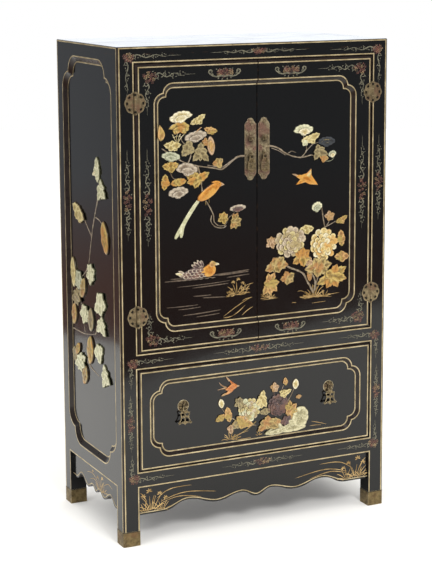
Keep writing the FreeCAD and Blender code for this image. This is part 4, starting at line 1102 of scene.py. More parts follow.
def branch(work, points, width, stone=None, rise=2.6, swell=even):
    """Length of twig cut from grey stone, with knots."""
    line = through(points, 5)
    knots = [noise.noise(Vector((p[0], p[1], 0)) * 0.11) for p in line]

    def knotted(share):
        return swell(share) * (0.85 + 0.45 * knots[min(round(share * (len(knots) - 1)), len(knots) - 1)])
    raised_line(work.setdefault(stone or twig_stone, new_shape()), line, width, rise, swell=knotted,
                section=half_round)


def twig_end(share):
    """Thinner towards the end of a twig."""
    return 1 - 0.45 * share


left_branch = {}
branch(left_branch, [(-34, 946), (-52, 945), (-67, 936), (-82, 925), (-97, 917), (-115, 921), (-133, 924),
                     (-160, 929), (-196, 940), (-222, 956), (-254, 976)], 5.6, swell=twig_end)
branch(left_branch, [(-66, 939), (-82, 929), (-98, 922), (-116, 926), (-134, 929)], 2.2, rose, 3.2)
branch(left_branch, [(-186, 936), (-178, 958), (-188, 978), (-200, 990), (-206, 1006)], 3.2, swell=twig_end)
branch(left_branch, [(-168, 1008), (-158, 1016), (-150, 1022)], 2.6, honey)
branch(left_branch, [(-160, 929), (-154, 905), (-150, 880), (-148, 862)], 4.6)
branch(left_branch, [(-139, 843), (-128, 825), (-119, 806), (-117, 790), (-105, 779), (-88, 778)], 4.2,
       swell=twig_end)
branch(left_branch, [(-124, 806), (-126, 792), (-118, 780), (-106, 774), (-92, 773), (-84, 778)], 2.4)
branch(left_branch, [(-232, 916), (-226, 904), (-216, 900)], 2.2)
branch(left_branch, [(-88, 778), (-78, 796), (-62, 808)], 2.0)
leaf(left_branch, olive, hanging, -154, 963, 46, 52, lift=0.5)
leaf(left_branch, olive, spade, -186, 972, 46, 38, 60)
leaf(left_branch, honey, half_star, -140, 986, 18, 24)
leaf(left_branch, straw, winged, -160, 1040, 40, 27)
leaf(left_branch, apricot, half_star, -126, 1013, 37, 20, -12)
leaf(left_branch, straw, half_star, -227, 981, 46, 28)
leaf(left_branch, honey, spade, -106, 933, 31, 30, 20)
leaf(left_branch, ochre, spade, -232, 931, 44, 30, 4)
leaf(left_branch, ochre, flame, -247, 895, 28, 40, 0, -1)
leaf(left_branch, ochre, sidelong, -212, 893, 44, 20, 4, lift=0.5)
leaf(left_branch, ochre, forked, -162, 896, 64, 42)
side_blossom(left_branch, cream, open_fan, -205, 1049, 58, 29)
side_blossom(left_branch, ochre, parasol, -210, 1023, 54, 30)
side_blossom(left_branch, rose, lens, -165, 1000, 59, 27, 4)
side_blossom(left_branch, sea_jade, lens, -231, 955, 48, 24, -2, -1)
side_blossom(left_branch, rose, open_fan, -188, 922, 54, 34, 8, -1)
side_blossom(left_branch, rose, lens, -212, 867, 52, 28, 0)
folded = [(-4, 20), (5, 8), (10, -3), (7, -14), (-2, -20), (-9, -10), (-8, 6)]
carve(left_branch, apricot, sawn(folded, 0.08), 3.4, at(-256, 1014), relief=veined(folded[:-1], 0.3))
bud(left_branch, blush, -125, 976, 48, 21, 96, core=apricot)
for foot, head in ((-9, -15), (-4, -2), (2, 6), (7, 17)):
    branch(left_branch, [(-213 + foot * 0.2, 988), (-212 + foot, 998), (-211 + head, 1009)], 1.6, cream, 1.8)
branch(left_branch, [(-224, 1001), (-212, 1004), (-202, 1001)], 1.4, cream, 2.0)
leaf(left_branch, ochre, spreading, -94, 797, 32, 33, 20)
leaf(left_branch, honey, serrated, -62, 788, 40, 40, 30)
side_blossom(left_branch, rose, lens, -53, 818, 44, 18, 0, front=plum)
lay("left_door_stone_branch", left_branch, door_field, "left_door")


def shaped(work, stone, corners, rise, bulge=0.05, lift=0.0, relief=None, steps=48):
    """Stone sawn through corners that are given from the ground's own origin."""
    middle_x = sum(u for u, w in corners) / len(corners)
    middle_y = sum(w for u, w in corners) / len(corners)
    carve(work, stone, sawn([(u - middle_x, w - middle_y) for u, w in corners], bulge), rise,
          at(middle_x, middle_y, 0, lift), steps=steps, relief=relief)


# The bird leans to the right along the branch; its tail of two long feathers hangs to the left.
def tail_feather(share):
    """Widens towards the end of the tail and is cut off round."""
    return 0.62 + 0.42 * share ** 0.6 - 0.5 * max(share - 0.94, 0) / 0.06


bird = {}
tail = [(-154, 850), (-166, 836), (-184, 812), (-202, 784)]
for shift, tip in ((-4.2, (-219, 757)), (4.2, (-208, 756))):
    quill = [(u + shift * 0.5, w + shift * 0.3) for u, w in through(tail + [tip], 5)]
    raised_line(bird.setdefault(jade, new_shape()), quill, 9.5, 2.4, swell=tail_feather, section=half_round)
body = [(-98, 881), (-106, 888), (-118, 886), (-132, 878), (-146, 869), (-160, 856), (-163, 845), (-150, 842),
        (-134, 847), (-118, 857), (-106, 870)]
wing = [(-118, 872), (-130, 870), (-148, 860), (-160, 847), (-148, 848), (-132, 856)]
head = [(-98, 883), (-104, 889), (-114, 891), (-127, 888), (-116, 884), (-110, 877), (-102, 875)]
beak = [(-90, 880), (-99, 886), (-103, 881), (-100, 876)]
shaped(bird, amber, body, 5.0, 0.03, relief=feathers(11, 0.1))
shaped(bird, amber, wing, 2.2, 0.04, 3.4, feathers(17, 0.4))
shaped(bird, amber, head, 3.6, 0.03, 2.2)
shaped(bird, blush, beak, 3.0, 0.02, 2.0, steps=20)
carve(bird, ink, spindle(2.4, 2.4, 2.0), 0.9, at(-105, 883, 0, 5.6), steps=12)
for step in (0, 9):
    branch(bird, [(-140 + step, 842 + step * 0.7), (-139 + step, 832 + step * 0.6)], 1.6, honey, 1.6)
lay("left_door_long_tailed_bird", bird, door_field, "left_door")

# The duck swims to the right, its wing raised; each feather is edged with paler stone.
duck = {}
body = [(-206, 661), (-196, 672), (-176, 680), (-154, 682), (-140, 672), (-146, 656), (-176, 652),
        (-198, 654)]
breast = [(-156, 668), (-150, 677), (-140, 683), (-130, 688), (-119, 684), (-114, 674), (-117, 663),
          (-126, 656), (-140, 655)]
head = [(-133, 683), (-132, 690), (-125, 695), (-117, 691), (-114, 685), (-121, 680), (-128, 679)]
beak = [(-118, 690), (-108, 687), (-105, 684), (-115, 682), (-119, 685)]
shaped(duck, plum, body, 3.8, 0.06, relief=feathers(16, 0.2))
for k, (x, y, length, turn) in enumerate(((-212, 668, 22, 168), (-206, 672, 20, 156), (-204, 663, 20, 178))):
    carve(duck, (cream, rose, rose)[k], spindle(length, 6.5, 1.6), 2.4, at(x, y, turn, 0.3 * k), steps=20)
for row in range(3):
    for k in range(6 - row):
        x, y = -196 + k * 10.5 + row * 6, 659 + row * 6.5 + (k % 2)
        carve(duck, rose, spindle(14, 9, 2.0), 1.0, at(x, y, 166, 2.7 + 0.35 * row), steps=16)
        carve(duck, plum, spindle(11, 6.5, 2.0), 1.4, at(x + 0.8, y + 0.2, 166, 2.9 + 0.35 * row), steps=14)
for k, (x, y, length, turn) in enumerate(((-169, 683, 27, 154), (-165, 687, 26, 140), (-159, 690, 24, 124),
                                          (-152, 689, 20, 106))):
    edging, feather = 1.4 + 0.4 * k, 1.9 + 0.4 * k
    carve(duck, rose, spindle(length, 8.4, 1.7), 1.5, at(x, y, turn, edging), steps=24)
    carve(duck, plum, spindle(length * 0.8, 5.4, 1.7), 1.6, at(x + 0.6, y - 0.8, turn, feather), steps=20)
shaped(duck, amber, breast, 4.6, 0.04, 0.4, feathers(7, 0.12))
shaped(duck, apricot, head, 4.4, 0.06, 1.6)
shaped(duck, cream, beak, 2.6, 0.04, 2.2, steps=20)
carve(duck, ink, spindle(2.4, 2.4, 2.0), 0.9, at(-122, 689, 0, 5.6), steps=12)
for k in range(7):
    branch(duck, [(-220 + 15 * k, 653 - (k % 2)), (-212 + 15 * k, 651), (-204 + 15 * k, 653)], 1.5, rose, 1.2,
           swell=pointed)
lay("left_door_duck", duck, door_field, "left_door")

# Ripples in brown paint under the duck, and a bank with tussocks and flowers in gold.
water_paint = oil_paint("brown_water_paint", "6a5a48", "47392d", "1e1a17")
water = new_shape()
banks = new_shape()
draw = random.Random(23)
ripples = (((-262, 658), (-164, 656), (-60, 660), (-8, 664)), ((-262, 652), (-200, 652), (-140, 651)),
           ((-120, 655), (-70, 657), (-12, 659)), ((-236, 636), (-137, 637), (-60, 641)),
           ((-190, 630), (-120, 632), (-70, 634)), ((-156, 604), (-118, 602), (-80, 600)),
           ((-180, 610), (-150, 609), (-120, 609)), ((-256, 588), (-200, 587), (-152, 588)),
           ((-222, 580), (-186, 580), (-146, 582)), ((-214, 564), (-150, 566), (-88, 570)),
           ((-176, 557), (-130, 559), (-96, 561)), ((-92, 648), (-50, 650), (-14, 652)))
for ripple in ripples:
    brush_stroke(water, ripple, draw.uniform(2.4, 5.0))
bank_lines = (((-101, 546), (-55, 574), (-6, 598)), ((-72, 548), (-51, 560), (-28, 578)),
              ((-96, 548), (-80, 548), (-62, 552)), ((-46, 546), (-28, 560), (-8, 570)),
              ((-88, 596), (-71, 606), (-51, 601)), ((-51, 601), (-36, 603), (-20, 608)),
              ((-44, 584), (-30, 590), (-10, 592)), ((-36, 622), (-22, 626), (-7, 629)))
for line in bank_lines:
    brush_stroke(banks, line, 2.0)
for x, y, height, count in ((-56, 602, 34, 9), (-40, 600, 22, 6), (-74, 598, 16, 5), (-34, 612, 18, 5)):
    tussock(banks, (x, y), height, count, draw)
for x, y, size, turn in ((-66, 634, 6, 80), (-52, 640, 6, 100), (-40, 630, 6, 60), (-70, 616, 5, 130)):
    orchid_flower(banks, x, y, size, turn)
lay("left_door_painted_water", {water_paint: water, brush_gold: banks}, door_field, "left_door")


# ---------------------------------------------------------------- stones of the right door
# The branch goes on across the meeting edge to three more blossoms. A small bird flies below it
# over a bush of two peonies with broad leaves, growing from gold grass.
right_branch = {}
branch(right_branch, [(34, 967), (48, 964), (62, 958), (76, 948), (92, 940), (108, 935), (124, 933),
                      (140, 935), (154, 937), (168, 928)], 5.0, swell=twig_end)
branch(right_branch, [(40, 961), (60, 953), (78, 942)], 2.0, rose, 3.0)
branch(right_branch, [(124, 934), (132, 941), (138, 952), (134, 972), (128, 988)], 3.4, swell=twig_end)
branch(right_branch, [(136, 948), (146, 956), (156, 964), (172, 968)], 2.8, swell=twig_end)
branch(right_branch, [(84, 944), (96, 950), (108, 946)], 2.2, swell=twig_end)
branch(right_branch, [(186, 922), (198, 919), (210, 921), (217, 929)], 2.0, sea_jade, swell=twig_end)
leaf(right_branch, straw, winged, 148, 979, 50, 30, -8)
leaf(right_branch, jade, flame, 132, 970, 22, 22, 40)
leaf(right_branch, olive, hanging, 172, 946, 44, 40, 20)
leaf(right_branch, honey, spade, 186, 928, 28, 24, -20, lift=0.4)
side_blossom(right_branch, jade, open_fan, 130, 1001, 52, 29, 14, -1, cream)
side_blossom(right_branch, ink, lens, 195, 968, 47, 25, -6)
for up, half in ((4, 16), (0, 20), (-4, 14)):
    branch(right_branch, [(195 - half, 968 + up), (195, 970 + up), (195 + half, 967 + up)], 1.1, cream, 3.6,
           swell=pointed)
side_blossom(right_branch, sea_jade, lens, 211, 936, 22, 18, front=cream)
lay("right_door_stone_branch", right_branch, door_field, "right_door")

# The bird flies to the left with both wings spread.
swallow = {}
body = [(151, 904), (152, 887), (171, 861), (146, 864), (134, 870), (107, 865), (119, 878), (96, 894),
        (121, 889), (139, 893)]
back = [(104, 891), (120, 890), (140, 886), (162, 868), (140, 872), (122, 880)]
wing = [(136, 887), (144, 894), (151, 903), (149, 890), (146, 880), (138, 878)]
shaped(swallow, amber, body, 3.4, 0.02, relief=feathers(10, 0.14))
shaped(swallow, amber, back, 2.4, 0.04, 1.8)
shaped(swallow, petal_gold, wing, 1.8, 0.03, 2.2, feathers(13, 0.3))
shaped(swallow, blush, [(95, 894), (106, 893), (112, 889), (106, 887)], 2.4, 0.04, 2.0, steps=18)
carve(swallow, ink, spindle(2.0, 2.0, 2.0), 0.8, at(113, 890, 0, 4.4), steps=10)
lay("right_door_flying_bird", swallow, door_field, "right_door")

bush = {}
branch(bush, [(82, 663), (94, 656), (107, 651), (122, 644), (132, 636), (140, 620), (150, 604), (160, 586)],
       5.6)
branch(bush, [(146, 648), (156, 634), (164, 616), (162, 592)], 4.8)
branch(bush, [(176, 640), (170, 620), (164, 600)], 3.4)
branch(bush, [(181, 806), (184, 790), (186, 776), (190, 757), (192, 744)], 3.2)
branch(bush, [(190, 752), (204, 757), (222, 765)], 3.0, swell=twig_end)
branch(bush, [(196, 756), (202, 764), (204, 772)], 2.2, swell=twig_end)
leaf(bush, blush, spreading, 38, 725, 34, 34, 30)
leaf(bush, straw, sidelong, 138, 751, 44, 26)
leaf(bush, ochre, spreading, 124, 681, 58, 52, 24)
leaf(bush, honey, drooping, 54, 668, 66, 42)
leaf(bush, honey, half_star, 85, 632, 42, 40, 20)
leaf(bush, apricot, serrated, 34, 622, 58, 56, 26)
leaf(bush, blush, spade, 146, 668, 26, 26, 60)
leaf(bush, honey, spreading, 172, 652, 80, 54, lift=0.5)
leaf(bush, ochre, serrated, 213, 626, 92, 62, lift=0.9)
leaf(bush, apricot, sidelong, 240, 674, 44, 32, -8, lift=0.6)
leaf(bush, apricot, flame, 238, 721, 28, 44)
leaf(bush, honey, flame, 147, 634, 14, 34)
leaf(bush, blush, half_star, 204, 780, 30, 30, 10)
leaf(bush, apricot, winged, 238, 768, 30, 26, -10)
peony(bush, [petal_rose, petal_rose, petal_rose, straw], 91, 724, 84, 76, 3)
peony(bush, [petal_gold, petal_gold, petal_gold, cream], 186, 710, 80, 80, 8)
side_blossom(bush, jade, lens, 168, 805, 29, 26, front=sea_jade)
lay("right_door_peony_bush", bush, door_field, "right_door")

grass = new_shape()
for x, y, height, count in ((161, 572, 40, 17), (140, 572, 22, 7), (190, 572, 24, 7), (27, 584, 22, 9),
                            (40, 584, 14, 5)):
    tussock(grass, (x, y), height, count, draw)
for start, end in (((116, 575), (222, 571)), ((96, 566), (112, 565)), ((8, 582), (64, 584)),
                   ((186, 578), (240, 581)), ((112, 594), (136, 590)), ((150, 560), (200, 562))):
    brush_stroke(grass, [start, ((start[0] + end[0]) / 2, start[1] + 1), end], 1.6)
lay("right_door_gold_grass", {brush_gold: grass}, door_field, "right_door")


# ---------------------------------------------------------------- stones of the drawer
# A cream peony and a plum one among buds and leaves, growing from a pale green rock, with a
# small bird flying to it. Gold grass is painted at the foot.
spray = {}
branch(spray, [(-70, 238), (-44, 248), (-18, 262), (-4, 272)], 2.4, honey)
branch(spray, [(-4, 262), (-40, 272), (-72, 290), (-92, 308), (-101, 322)], 3.4, swell=twig_end)
branch(spray, [(40, 300), (46, 326), (48, 344)], 3.0, plum, swell=twig_end)
branch(spray, [(60, 310), (66, 336), (74, 356)], 2.6, rose, swell=twig_end)
branch(spray, [(80, 306), (92, 322), (102, 340), (107, 350)], 3.0, swell=twig_end)
leaf(spray, olive, sidelong, -58, 272, 40, 26, 20)
leaf(spray, olive, spreading, -52, 326, 30, 34, 20)
leaf(spray, straw, hanging, 12, 330, 34, 48, -10)
leaf(spray, straw, spade, 10, 314, 24, 20)
leaf(spray, apricot, flame, -82, 300, 24, 42, 6)
leaf(spray, apricot, sidelong, -103, 294, 32, 20, 20)
leaf(spray, blush, spade, -76, 262, 20, 26)
leaf(spray, apricot, drooping, -42, 276, 60, 36, hand=-1)
leaf(spray, honey, hanging, 27, 265, 64, 42, 4, lift=0.5)
leaf(spray, honey, spade, 50, 262, 34, 32, lift=0.8)
leaf(spray, plum, spreading, 82, 262, 44, 32)
leaf(spray, apricot, serrated, 92, 289, 54, 44, 60, lift=0.6)
leaf(spray, olive, sidelong, 22, 295, 34, 20)
leaf(spray, blush, half_star, 48, 354, 26, 30)
leaf(spray, apricot, flame, 79, 366, 18, 22)
leaf(spray, straw, forked, 78, 335, 36, 24)
leaf(spray, blush, sidelong, 117, 322, 18, 13)
peony(spray, [straw, jade, petal_rose], -23, 306, 60, 60, 4)
peony(spray, [plum], 58, 307, 60, 56, 12)
# Fine pale curls over the whole of the plum peony, from its heart outwards.
draw = random.Random(7)
for k in range(34):
    angle, out = k * 2.4, 4.4 * math.sqrt(k)
    x, y = 58 + out * math.cos(angle), 308 + out * 0.9 * math.sin(angle)
    heading = angle + math.pi / 2 + draw.uniform(-0.6, 0.6)
    step_x, step_y = 2.6 * math.cos(heading), 2.6 * math.sin(heading)
    branch(spray, [(x - step_x, y - step_y), (x + 0.5, y + 0.5), (x + step_x, y + step_y)], 1.1, blush,
           6.6 - out * 0.17, swell=pointed)
bud(spray, cream, -101, 331, 24, 16, 100, core=straw)
bud(spray, cream, 108, 356, 27, 18, 86, core=straw)
lay("drawer_peony_spray", spray, drawer_field, "drawer")

# The rock is three slabs of pale veined stone, cut into ridges, with knobs on top of them.
rock = {}
slabs = ([(20, 234), (26, 242), (38, 247), (46, 258), (58, 262), (70, 252), (78, 242), (76, 234), (48, 231)],
         [(66, 234), (72, 246), (84, 252), (94, 262), (104, 274), (118, 268), (132, 250), (136, 238),
          (100, 233)],
         [(98, 258), (100, 276), (108, 290), (124, 296), (138, 288), (144, 272), (140, 254), (130, 244),
          (110, 244)])
for k, slab in enumerate(slabs):
    middle = (sum(u for u, w in slab) / len(slab), sum(w for u, w in slab) / len(slab))
    corners = [(u - middle[0], w - middle[1]) for u, w in slab]
    carve(rock, rock_stone, sawn(corners, 0.12), 3.4, at(*middle, 0, 0.7 * k), steps=72,
          relief=veined(corners, 0.3, to_tips=False))
draw = random.Random(31)
for k in range(30):
    along = k / 30
    x, y = 32 + along * 104 + draw.uniform(-6, 6), 238 + along ** 1.8 * 44 * draw.uniform(0.2, 1.1)
    long = draw.uniform(9, 19)
    knob = [(long / 2 * draw.uniform(0.8, 1.1) * math.cos(angle), long / 3 * math.sin(angle))
            for angle in (0.2, 1.1, 2.2, 3.1, 4.3, 5.4)]
    carve(rock, rock_stone, sawn(knob, 0.16), draw.uniform(1.2, 2.2), at(x, y, draw.uniform(-20, 50), 3.2),
          steps=24, relief=feathers(5, 0.3))
lay("drawer_jade_rock", rock, drawer_field, "drawer")

# The bird flies up to the right, wings raised, with a forked tail.
swallow = {}
body = [(-56, 371), (-62, 377), (-72, 378), (-84, 370), (-92, 365), (-82, 362), (-70, 362), (-61, 366)]
wings = (([(-62, 377), (-72, 384), (-80, 391), (-76, 382), (-72, 375)], carnelian, 1.0),
         ([(-76, 387), (-82, 394), (-89, 400), (-85, 391), (-80, 385)], blush, 0.9),
         ([(-64, 368), (-70, 359), (-82, 353), (-92, 352), (-84, 360), (-74, 366)], carnelian, 1.0),
         ([(-84, 355), (-94, 350), (-102, 350), (-98, 354), (-90, 357)], blush, 0.9))
shaped(swallow, carnelian, body, 4.0, 0.06, relief=feathers(9, 0.1))
for wing, stone, lift in wings:
    shaped(swallow, stone, wing, 2.6, 0.04, lift, feathers(11, 0.2))
for tip_x, tip_y in ((-110, 366), (-106, 385)):
    bend = ((tip_x - 92) / 2, (tip_y + 368) / 2 + 0.6)
    branch(swallow, [(tip_x, tip_y), bend, (-86, 369)], 4.6, blush, 2.0,
           swell=lambda share: 0.35 + 0.65 * share)
shaped(swallow, blush, [(-50, 371), (-57, 374), (-60, 371), (-57, 368)], 2.4, 0.04, 1.0, steps=16)
carve(swallow, ink, spindle(1.9, 1.9, 2.0), 0.8, at(-62, 373, 0, 4.0), steps=10)
lay("drawer_flying_bird", swallow, drawer_field, "drawer")

grass = new_shape()
for x, y, height, count in ((-76, 233, 26, 8), (-62, 233, 18, 5), (4, 234, 12, 4)):
    tussock(grass, (x, y), height, count, draw)
for start, middle, end in (((-78, 236), (-50, 246), (-18, 252)), ((152, 252), (172, 247), (206, 236)),
                           ((-66, 232), (-40, 231), (-12, 233)), ((144, 240), (166, 240), (188, 238))):
    brush_stroke(grass, [start, middle, end], 1.8)
lay("drawer_gold_grass", {brush_gold: grass}, drawer_field, "drawer")


# ---------------------------------------------------------------- stones of the sides
# A trailing gourd vine on each side: pale jade leaves, long ochre and olive pods, and thin rose
# stems. The right side carries the same vine the other way about.
side_ground = -moulding_high.x
vine_leaves = ((jade, flame, 48, 914, 44, 64, 0), (cream, winged, 30, 903, 26, 12, 0),
               (jade, hanging, 72, 868, 60, 56, 14), (straw, half_star, -84, 789, 88, 42, -20),
               (jade, spreading, -8, 645, 62, 58, 14),
               (sea_jade, drooping, -92, 616, 64, 52, 0), (olive, serrated, -106, 572, 76, 50, 0),
               (jade, drooping, 54, 580, 80, 62, 6), (jade, spreading, -54, 534, 68, 54, 0),
               (jade, hanging, 60, 528, 68, 50, 0), (jade, spade, 40, 452, 62, 56, 20),
               (jade, serrated, -88, 404, 84, 54, 0), (olive, spade, -126, 416, 40, 44, 0),
               (jade, hanging, 80, 404, 56, 62, 24))
vine_pods = ((ochre, 93, 752, 84, 44, 106), (straw, -128, 630, 80, 34, 96), (honey, -62, 600, 60, 34, 64),
             (apricot, -126, 522, 60, 34, 80), (olive, -10, 528, 62, 38, 88), (ochre, -104, 434, 40, 24, 50),
             (ochre, -18, 448, 76, 44, 84), (honey, -58, 374, 54, 36, 70))
vine_stems = (((56, 858), (30, 812), (6, 760), (-8, 718), (-18, 686), (-26, 662)),
              ((-46, 776), (-24, 758), (-2, 742)), ((30, 794), (52, 790), (76, 782)),
              ((-26, 662), (-52, 640), (-84, 622)),
              ((-140, 480), (-100, 480), (-64, 481), (-20, 488), (14, 496)),
              ((-42, 412), (-10, 400), (34, 392)),
              ((-84, 560), (-70, 520), (-58, 486)), ((14, 496), (40, 520), (58, 552)))
for side, hand in (("left", 1), ("right", -1)):
    vine = {}
    for line in vine_stems:
        branch(vine, [(hand * u, w) for u, w in line], 3.4, rose, 2.4, swell=twig_end)
    for stone, shape, x, y, width, height, turn in vine_leaves:
        leaf(vine, stone, shape, hand * x, y, width, height, hand * turn, hand, rise=4.6, depth=0.22)
    for stone, x, y, length, width, turn in vine_pods:
        bud(vine, stone, hand * x, y, length, width, turn if hand > 0 else 180 - turn, rise=5.5)
    lay(side + "_side_stone_vine", vine, on_face(side, side_ground), "case")


# ---------------------------------------------------------------- hinges
# Round hinges of sheet brass with scalloped rims, half on the leg and half on the door. They are
# pinned through dark openings near the rim, chased with a ring, and worn to rose where hands rub.
def aged_brass(name, bright, dull, rosy, grime_and_shade, chasing_and_shade=None, rose_share=0.3, shiniest=0.3, dullest=0.5,
               patch=12, relief=0.2):
    """Old brass: dull in patches, rose where it is rubbed, dark with grime and painted shade in the chasing,
    and with pale arrises that are partly a painted highlight.
    """
    made, tree = new_material(name)
    place = add(tree, "TexCoord").outputs["Object"]
    # Tarnish in patches of `patch` millimetres, rubbed places about 30 mm, scratches under 1 mm.
    tarnish = add(tree, "TexNoise", {"Vector": place, "Scale": 1000 / patch, "Detail": 6.0, "Roughness": 0.6})
    tone = add(tree, "MapRange", {"Value": tarnish.outputs["Fac"], "From Min": 0.38, "From Max": 0.62})
    colour = add(tree, "MixRGB", {"Fac": tone.outputs["Result"], "Color1": srgb(dull),
                                  "Color2": srgb(bright)})
    handled = add(tree, "TexNoise", {"Vector": place, "Scale": 1000 / 30, "Detail": 3.0})
    rubbed = add(tree, "MapRange", {"Value": handled.outputs["Fac"], "From Min": 0.62 - rose_share * 0.3,
                                    "From Max": 0.74 - rose_share * 0.3, "To Max": 0.8})
    colour = add(tree, "MixRGB", {"Fac": rubbed.outputs["Result"], "Color1": colour.outputs["Color"],
                                  "Color2": srgb(rosy)})
    scratches = add(tree, "TexNoise", {"Vector": place, "Scale": 1000 / 0.8, "Detail": 2.0})
    height = add(tree, "Math", {0: tarnish.outputs["Fac"], 1: 3.0, 2: scratches.outputs["Fac"]},
                 operation="MULTIPLY_ADD").outputs[0]
    # The chasing darkens with grime, and with painted shade beside the hinge pins and round the lock posts
    # and pulls.
    if chasing_and_shade:
        cut = chasing_and_shade(tree, place)
        colour = add(tree, "MixRGB", {"Fac": cut, "Color1": colour.outputs["Color"], "Color2": srgb(grime_and_shade)})
        height = add(tree, "Math", {0: cut, 1: -4.0, 2: height}, operation="MULTIPLY_ADD").outputs[0]
    # Pale arrises: partly rubbed bright, partly a painted highlight where the edges would catch the light.
    colour = add(tree, "MixRGB", {"Fac": arris_wear_and_highlight(tree, 0.0011, 0.98, 0.85, most=0.85),
                                  "Color1": colour.outputs["Color"], "Color2": srgb("d6c8a4")})
    bump = add(tree, "Bump", {"Height": height, "Strength": 0.25, "Distance": relief / 1000})
    rough = add(tree, "MapRange", {"Value": tarnish.outputs["Fac"], "From Min": 0.35, "From Max": 0.65,
                                   "To Min": dullest, "To Max": shiniest})
    shader = add(tree, "BsdfPrincipled", {"Base Color": colour.outputs["Color"], "Metallic": 0.7,
                                          "Roughness": rough.outputs["Result"],
                                          "Normal": bump.outputs["Normal"]})
    add(tree, "OutputMaterial", {"Surface": shader.outputs[0]})
    return made


def band_at(tree, value, middle, half_width):
    """One where a value lies in a narrow band, nothing outside it."""
    return add(tree, "Math", {0: value, 1: middle, 2: half_width}, operation="COMPARE").outputs[0]


def from_middle(tree, place):
    """How far to the side of the case's middle a place is, the same on both hands, and its height."""
    apart = add(tree, "SeparateXYZ", {0: place})
    across = add(tree, "Math", {0: apart.outputs["X"]}, operation="ABSOLUTE")
    return across.outputs[0], apart.outputs["Z"]


def about_middle(tree, across, along):
    """Distance from a middle, and the turn around it, for a place measured from that middle."""
    spot = add(tree, "CombineXYZ", {0: across, 1: along})
    out = add(tree, "VectorMath", {0: spot.outputs[0]}, operation="LENGTH")
    turn = add(tree, "Math", {0: along, 1: across}, operation="ARCTAN2")
    return out.outputs["Value"], turn.outputs[0]


hinge_x = (reach("left_post_hinge_leaves")[0].x + reach("left_door_hinge_leaves")[1].x) / 2
upper_hinge, lower_hinge = 1087.5, 574.0   # heights of the hinges' middles


def round_chasing_and_shade(tree, place):
    """Ring of dark openings and a cut ring about the middle of each hinge, with lines of painted shade beside
    its pin.
    """
    across, level = from_middle(tree, place)
    across = add(tree, "Math", {0: across, 1: abs(hinge_x) / 1000}, operation="SUBTRACT").outputs[0]
    # Folded at the height midway between the two hinges, so that both get the same ring.
    along = add(tree, "Math", {0: level, 1: (upper_hinge + lower_hinge) / 2000}, operation="SUBTRACT")
    along = add(tree, "Math", {0: along.outputs[0]}, operation="ABSOLUTE")
    along = add(tree, "Math", {0: along.outputs[0], 1: (upper_hinge - lower_hinge) / 2000},
                operation="SUBTRACT")
    out, turn = about_middle(tree, across, along.outputs[0])
    lobes = add(tree, "Math", {0: turn, 1: 8.0}, operation="MULTIPLY")
    lobes = add(tree, "Math", {0: lobes.outputs[0]}, operation="COSINE")
    opened = add(tree, "MapRange", {"Value": lobes.outputs[0], "From Min": 0.0, "From Max": 0.35})
    # The openings lie 20.2 mm from the middle, the cut ring 16.5 mm, and the lines of painted shade, where
    # the leaves meet the knuckle, 3.8 mm beside the pin.
    spots = add(tree, "Math", {0: opened.outputs["Result"], 1: band_at(tree, out, 0.0202, 0.0026)},
                operation="MULTIPLY")
    lines = add(tree, "Math", {0: band_at(tree, out, 0.0165, 0.0003),
                               1: band_at(tree, across, 0.0038, 0.0008)}, operation="ADD")
    lines = add(tree, "Math", {0: lines.outputs[0], 1: 0.6}, operation="MULTIPLY")
    return add(tree, "Math", {0: spots.outputs[0], 1: lines.outputs[0]}, operation="MAXIMUM").outputs[0]


hinge_brass = aged_brass("hinge_brass", "a08f6c", "685a42", "80604c", "120d0a", round_chasing_and_shade)
dress(hinge_brass, "left_post_hinge_leaves", "right_post_hinge_leaves", "left_door_hinge_leaves",
      "right_door_hinge_leaves")
pin_brass = aged_brass("hinge_pin_brass", "a8966a", "665738", "7c5a44", "120d0a")
dress(pin_brass, "hinge_pins")


# ---------------------------------------------------------------- lock plates and door pulls
# Long brass plates, chased all over with scrolls, meet at the middle of the doors. Each has a
# post with an eye and a ribbed drop pull, and hands have worn the middle to rose.
def scroll_chasing_and_shade(tree, place):
    """Scrolls cut close together, alike on both plates, with painted shade beside post and pull, where old
    polish has caked as well.
    """
    across, level = from_middle(tree, place)
    paired = add(tree, "CombineXYZ", {0: across, 2: level})
    # Scrolls about 9 mm across, cut with a line 0.6 mm wide.
    scrolls = add(tree, "TexNoise", {"Vector": paired.outputs[0], "Scale": 1000 / 9, "Detail": 1.5,
                                     "Distortion": 3.0})
    whorls = add(tree, "Math", {0: scrolls.outputs["Fac"], 1: 26.0}, operation="MULTIPLY")
    whorls = add(tree, "Math", {0: whorls.outputs[0]}, operation="SINE")
    dark = add(tree, "MapRange", {"Value": whorls.outputs[0], "From Min": 0.3, "From Max": 0.8,
                                  "To Max": 0.75})
    # Painted shade round the foot of the post and of the pull, together with caked polish.
    for height in (post_level - 0.003, post_level - 0.046):
        away = add(tree, "VectorMath", {0: paired.outputs[0], 1: (plate_middle, 0.0, height)},
                   operation="DISTANCE")
        caked_and_shaded = add(tree, "MapRange", {"Value": away.outputs["Value"], "From Min": 0.014, "From Max": 0.005,
                                       "To Max": 0.85})
        dark = add(tree, "Math", {0: dark.outputs[0], 1: caked_and_shaded.outputs["Result"]}, operation="MAXIMUM")
    return dark.outputs[0]


low, high = reach("left_lock_plate")
plate_middle = -(low.x + high.x) / 2000
low, high = reach("left_lock_post")
post_level = (low.z + high.z) / 2000
plate_brass = aged_brass("lock_plate_brass", "c4b490", "6c5c44", "8c6458", "241a12", scroll_chasing_and_shade,
                         rose_share=0.35, shiniest=0.22, dullest=0.45, patch=5, relief=2.0)
dress(plate_brass, "left_lock_plate", "right_lock_plate")
pull_brass = aged_brass("pull_brass", "95835f", "40331f", "74584a", "1c140e", patch=6)
dress(pull_brass, "left_lock_post", "right_lock_post", "left_pull_staple", "right_pull_staple",
      "left_drop_pull", "right_drop_pull")

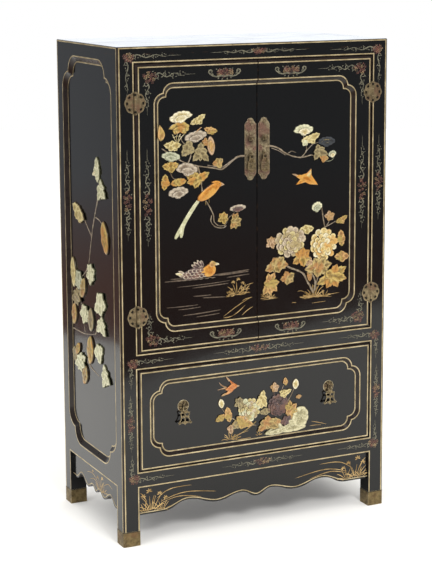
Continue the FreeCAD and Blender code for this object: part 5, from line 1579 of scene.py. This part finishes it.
pin_width, pin_rise = 4.6, 1.5
pin_inset = 11.0               # end of a plate to the middle of its pin
for side in ("left", "right"):
    pins = {}
    low, high = reach(side + "_lock_plate")
    for level in (low.z + pin_inset, high.z - pin_inset):
        carve(pins, pull_brass, spindle(pin_width, pin_width, 2.0), pin_rise, at((low.x + high.x) / 2, level),
              steps=20)
    lay(side + "_lock_plate_pins", pins, on_face("front", -low.y), side + "_door")


# ---------------------------------------------------------------- drawer pulls
# A domed rosette, chased with petals, holds the staple of each openwork swinging pull.
low, high = reach("drawer_pull_rosettes")
rosette_level = (low.z + high.z) / 2000
rosette_middle = high.x / 1000 - (high.z - low.z) / 2000


def petal_chasing(tree, place):
    """Eight dark lines parting the petals of each rosette, and a dark ring about its staple."""
    across, level = from_middle(tree, place)
    across = add(tree, "Math", {0: across, 1: rosette_middle}, operation="SUBTRACT")
    along = add(tree, "Math", {0: level, 1: rosette_level}, operation="SUBTRACT")
    out, turn = about_middle(tree, across.outputs[0], along.outputs[0])
    petals = add(tree, "Math", {0: turn, 1: 4.0}, operation="MULTIPLY")
    petals = add(tree, "Math", {0: petals.outputs[0]}, operation="SINE")
    parted = add(tree, "Math", {0: band_at(tree, petals.outputs[0], 0.0, 0.3),
                                1: band_at(tree, out, 0.0085, 0.0035)}, operation="MULTIPLY")
    return add(tree, "Math", {0: parted.outputs[0], 1: band_at(tree, out, 0.0045, 0.0014)},
               operation="MAXIMUM").outputs[0]


rosette_brass = aged_brass("rosette_brass", "95835f", "40331f", "74584a", "1c140e", petal_chasing, patch=6)
dress(rosette_brass, "drawer_pull_rosettes")
dress(pull_brass, "drawer_pull_staples", "drawer_left_pull", "drawer_right_pull")


# ---------------------------------------------------------------- foot caps
# Sheet brass boxes slipped over the feet. They have gone olive brown, with old polish caked along
# the upper edge, and paler arrises, rubbed bright where they meet the floor and given a painted highlight.
def caked_upper_edge(tree, place):
    """Dark band just under the upper edge of the caps."""
    apart = add(tree, "SeparateXYZ", {0: place})
    return band_at(tree, apart.outputs["Z"], (cap_top - 0.8) / 1000, 0.0012)


cap_brass = aged_brass("foot_cap_brass", "86744e", "5e4f34", "74583c", "1c140e", caked_upper_edge,
                       rose_share=0.2, shiniest=0.36, dullest=0.55)
dress(cap_brass, "foot_caps")
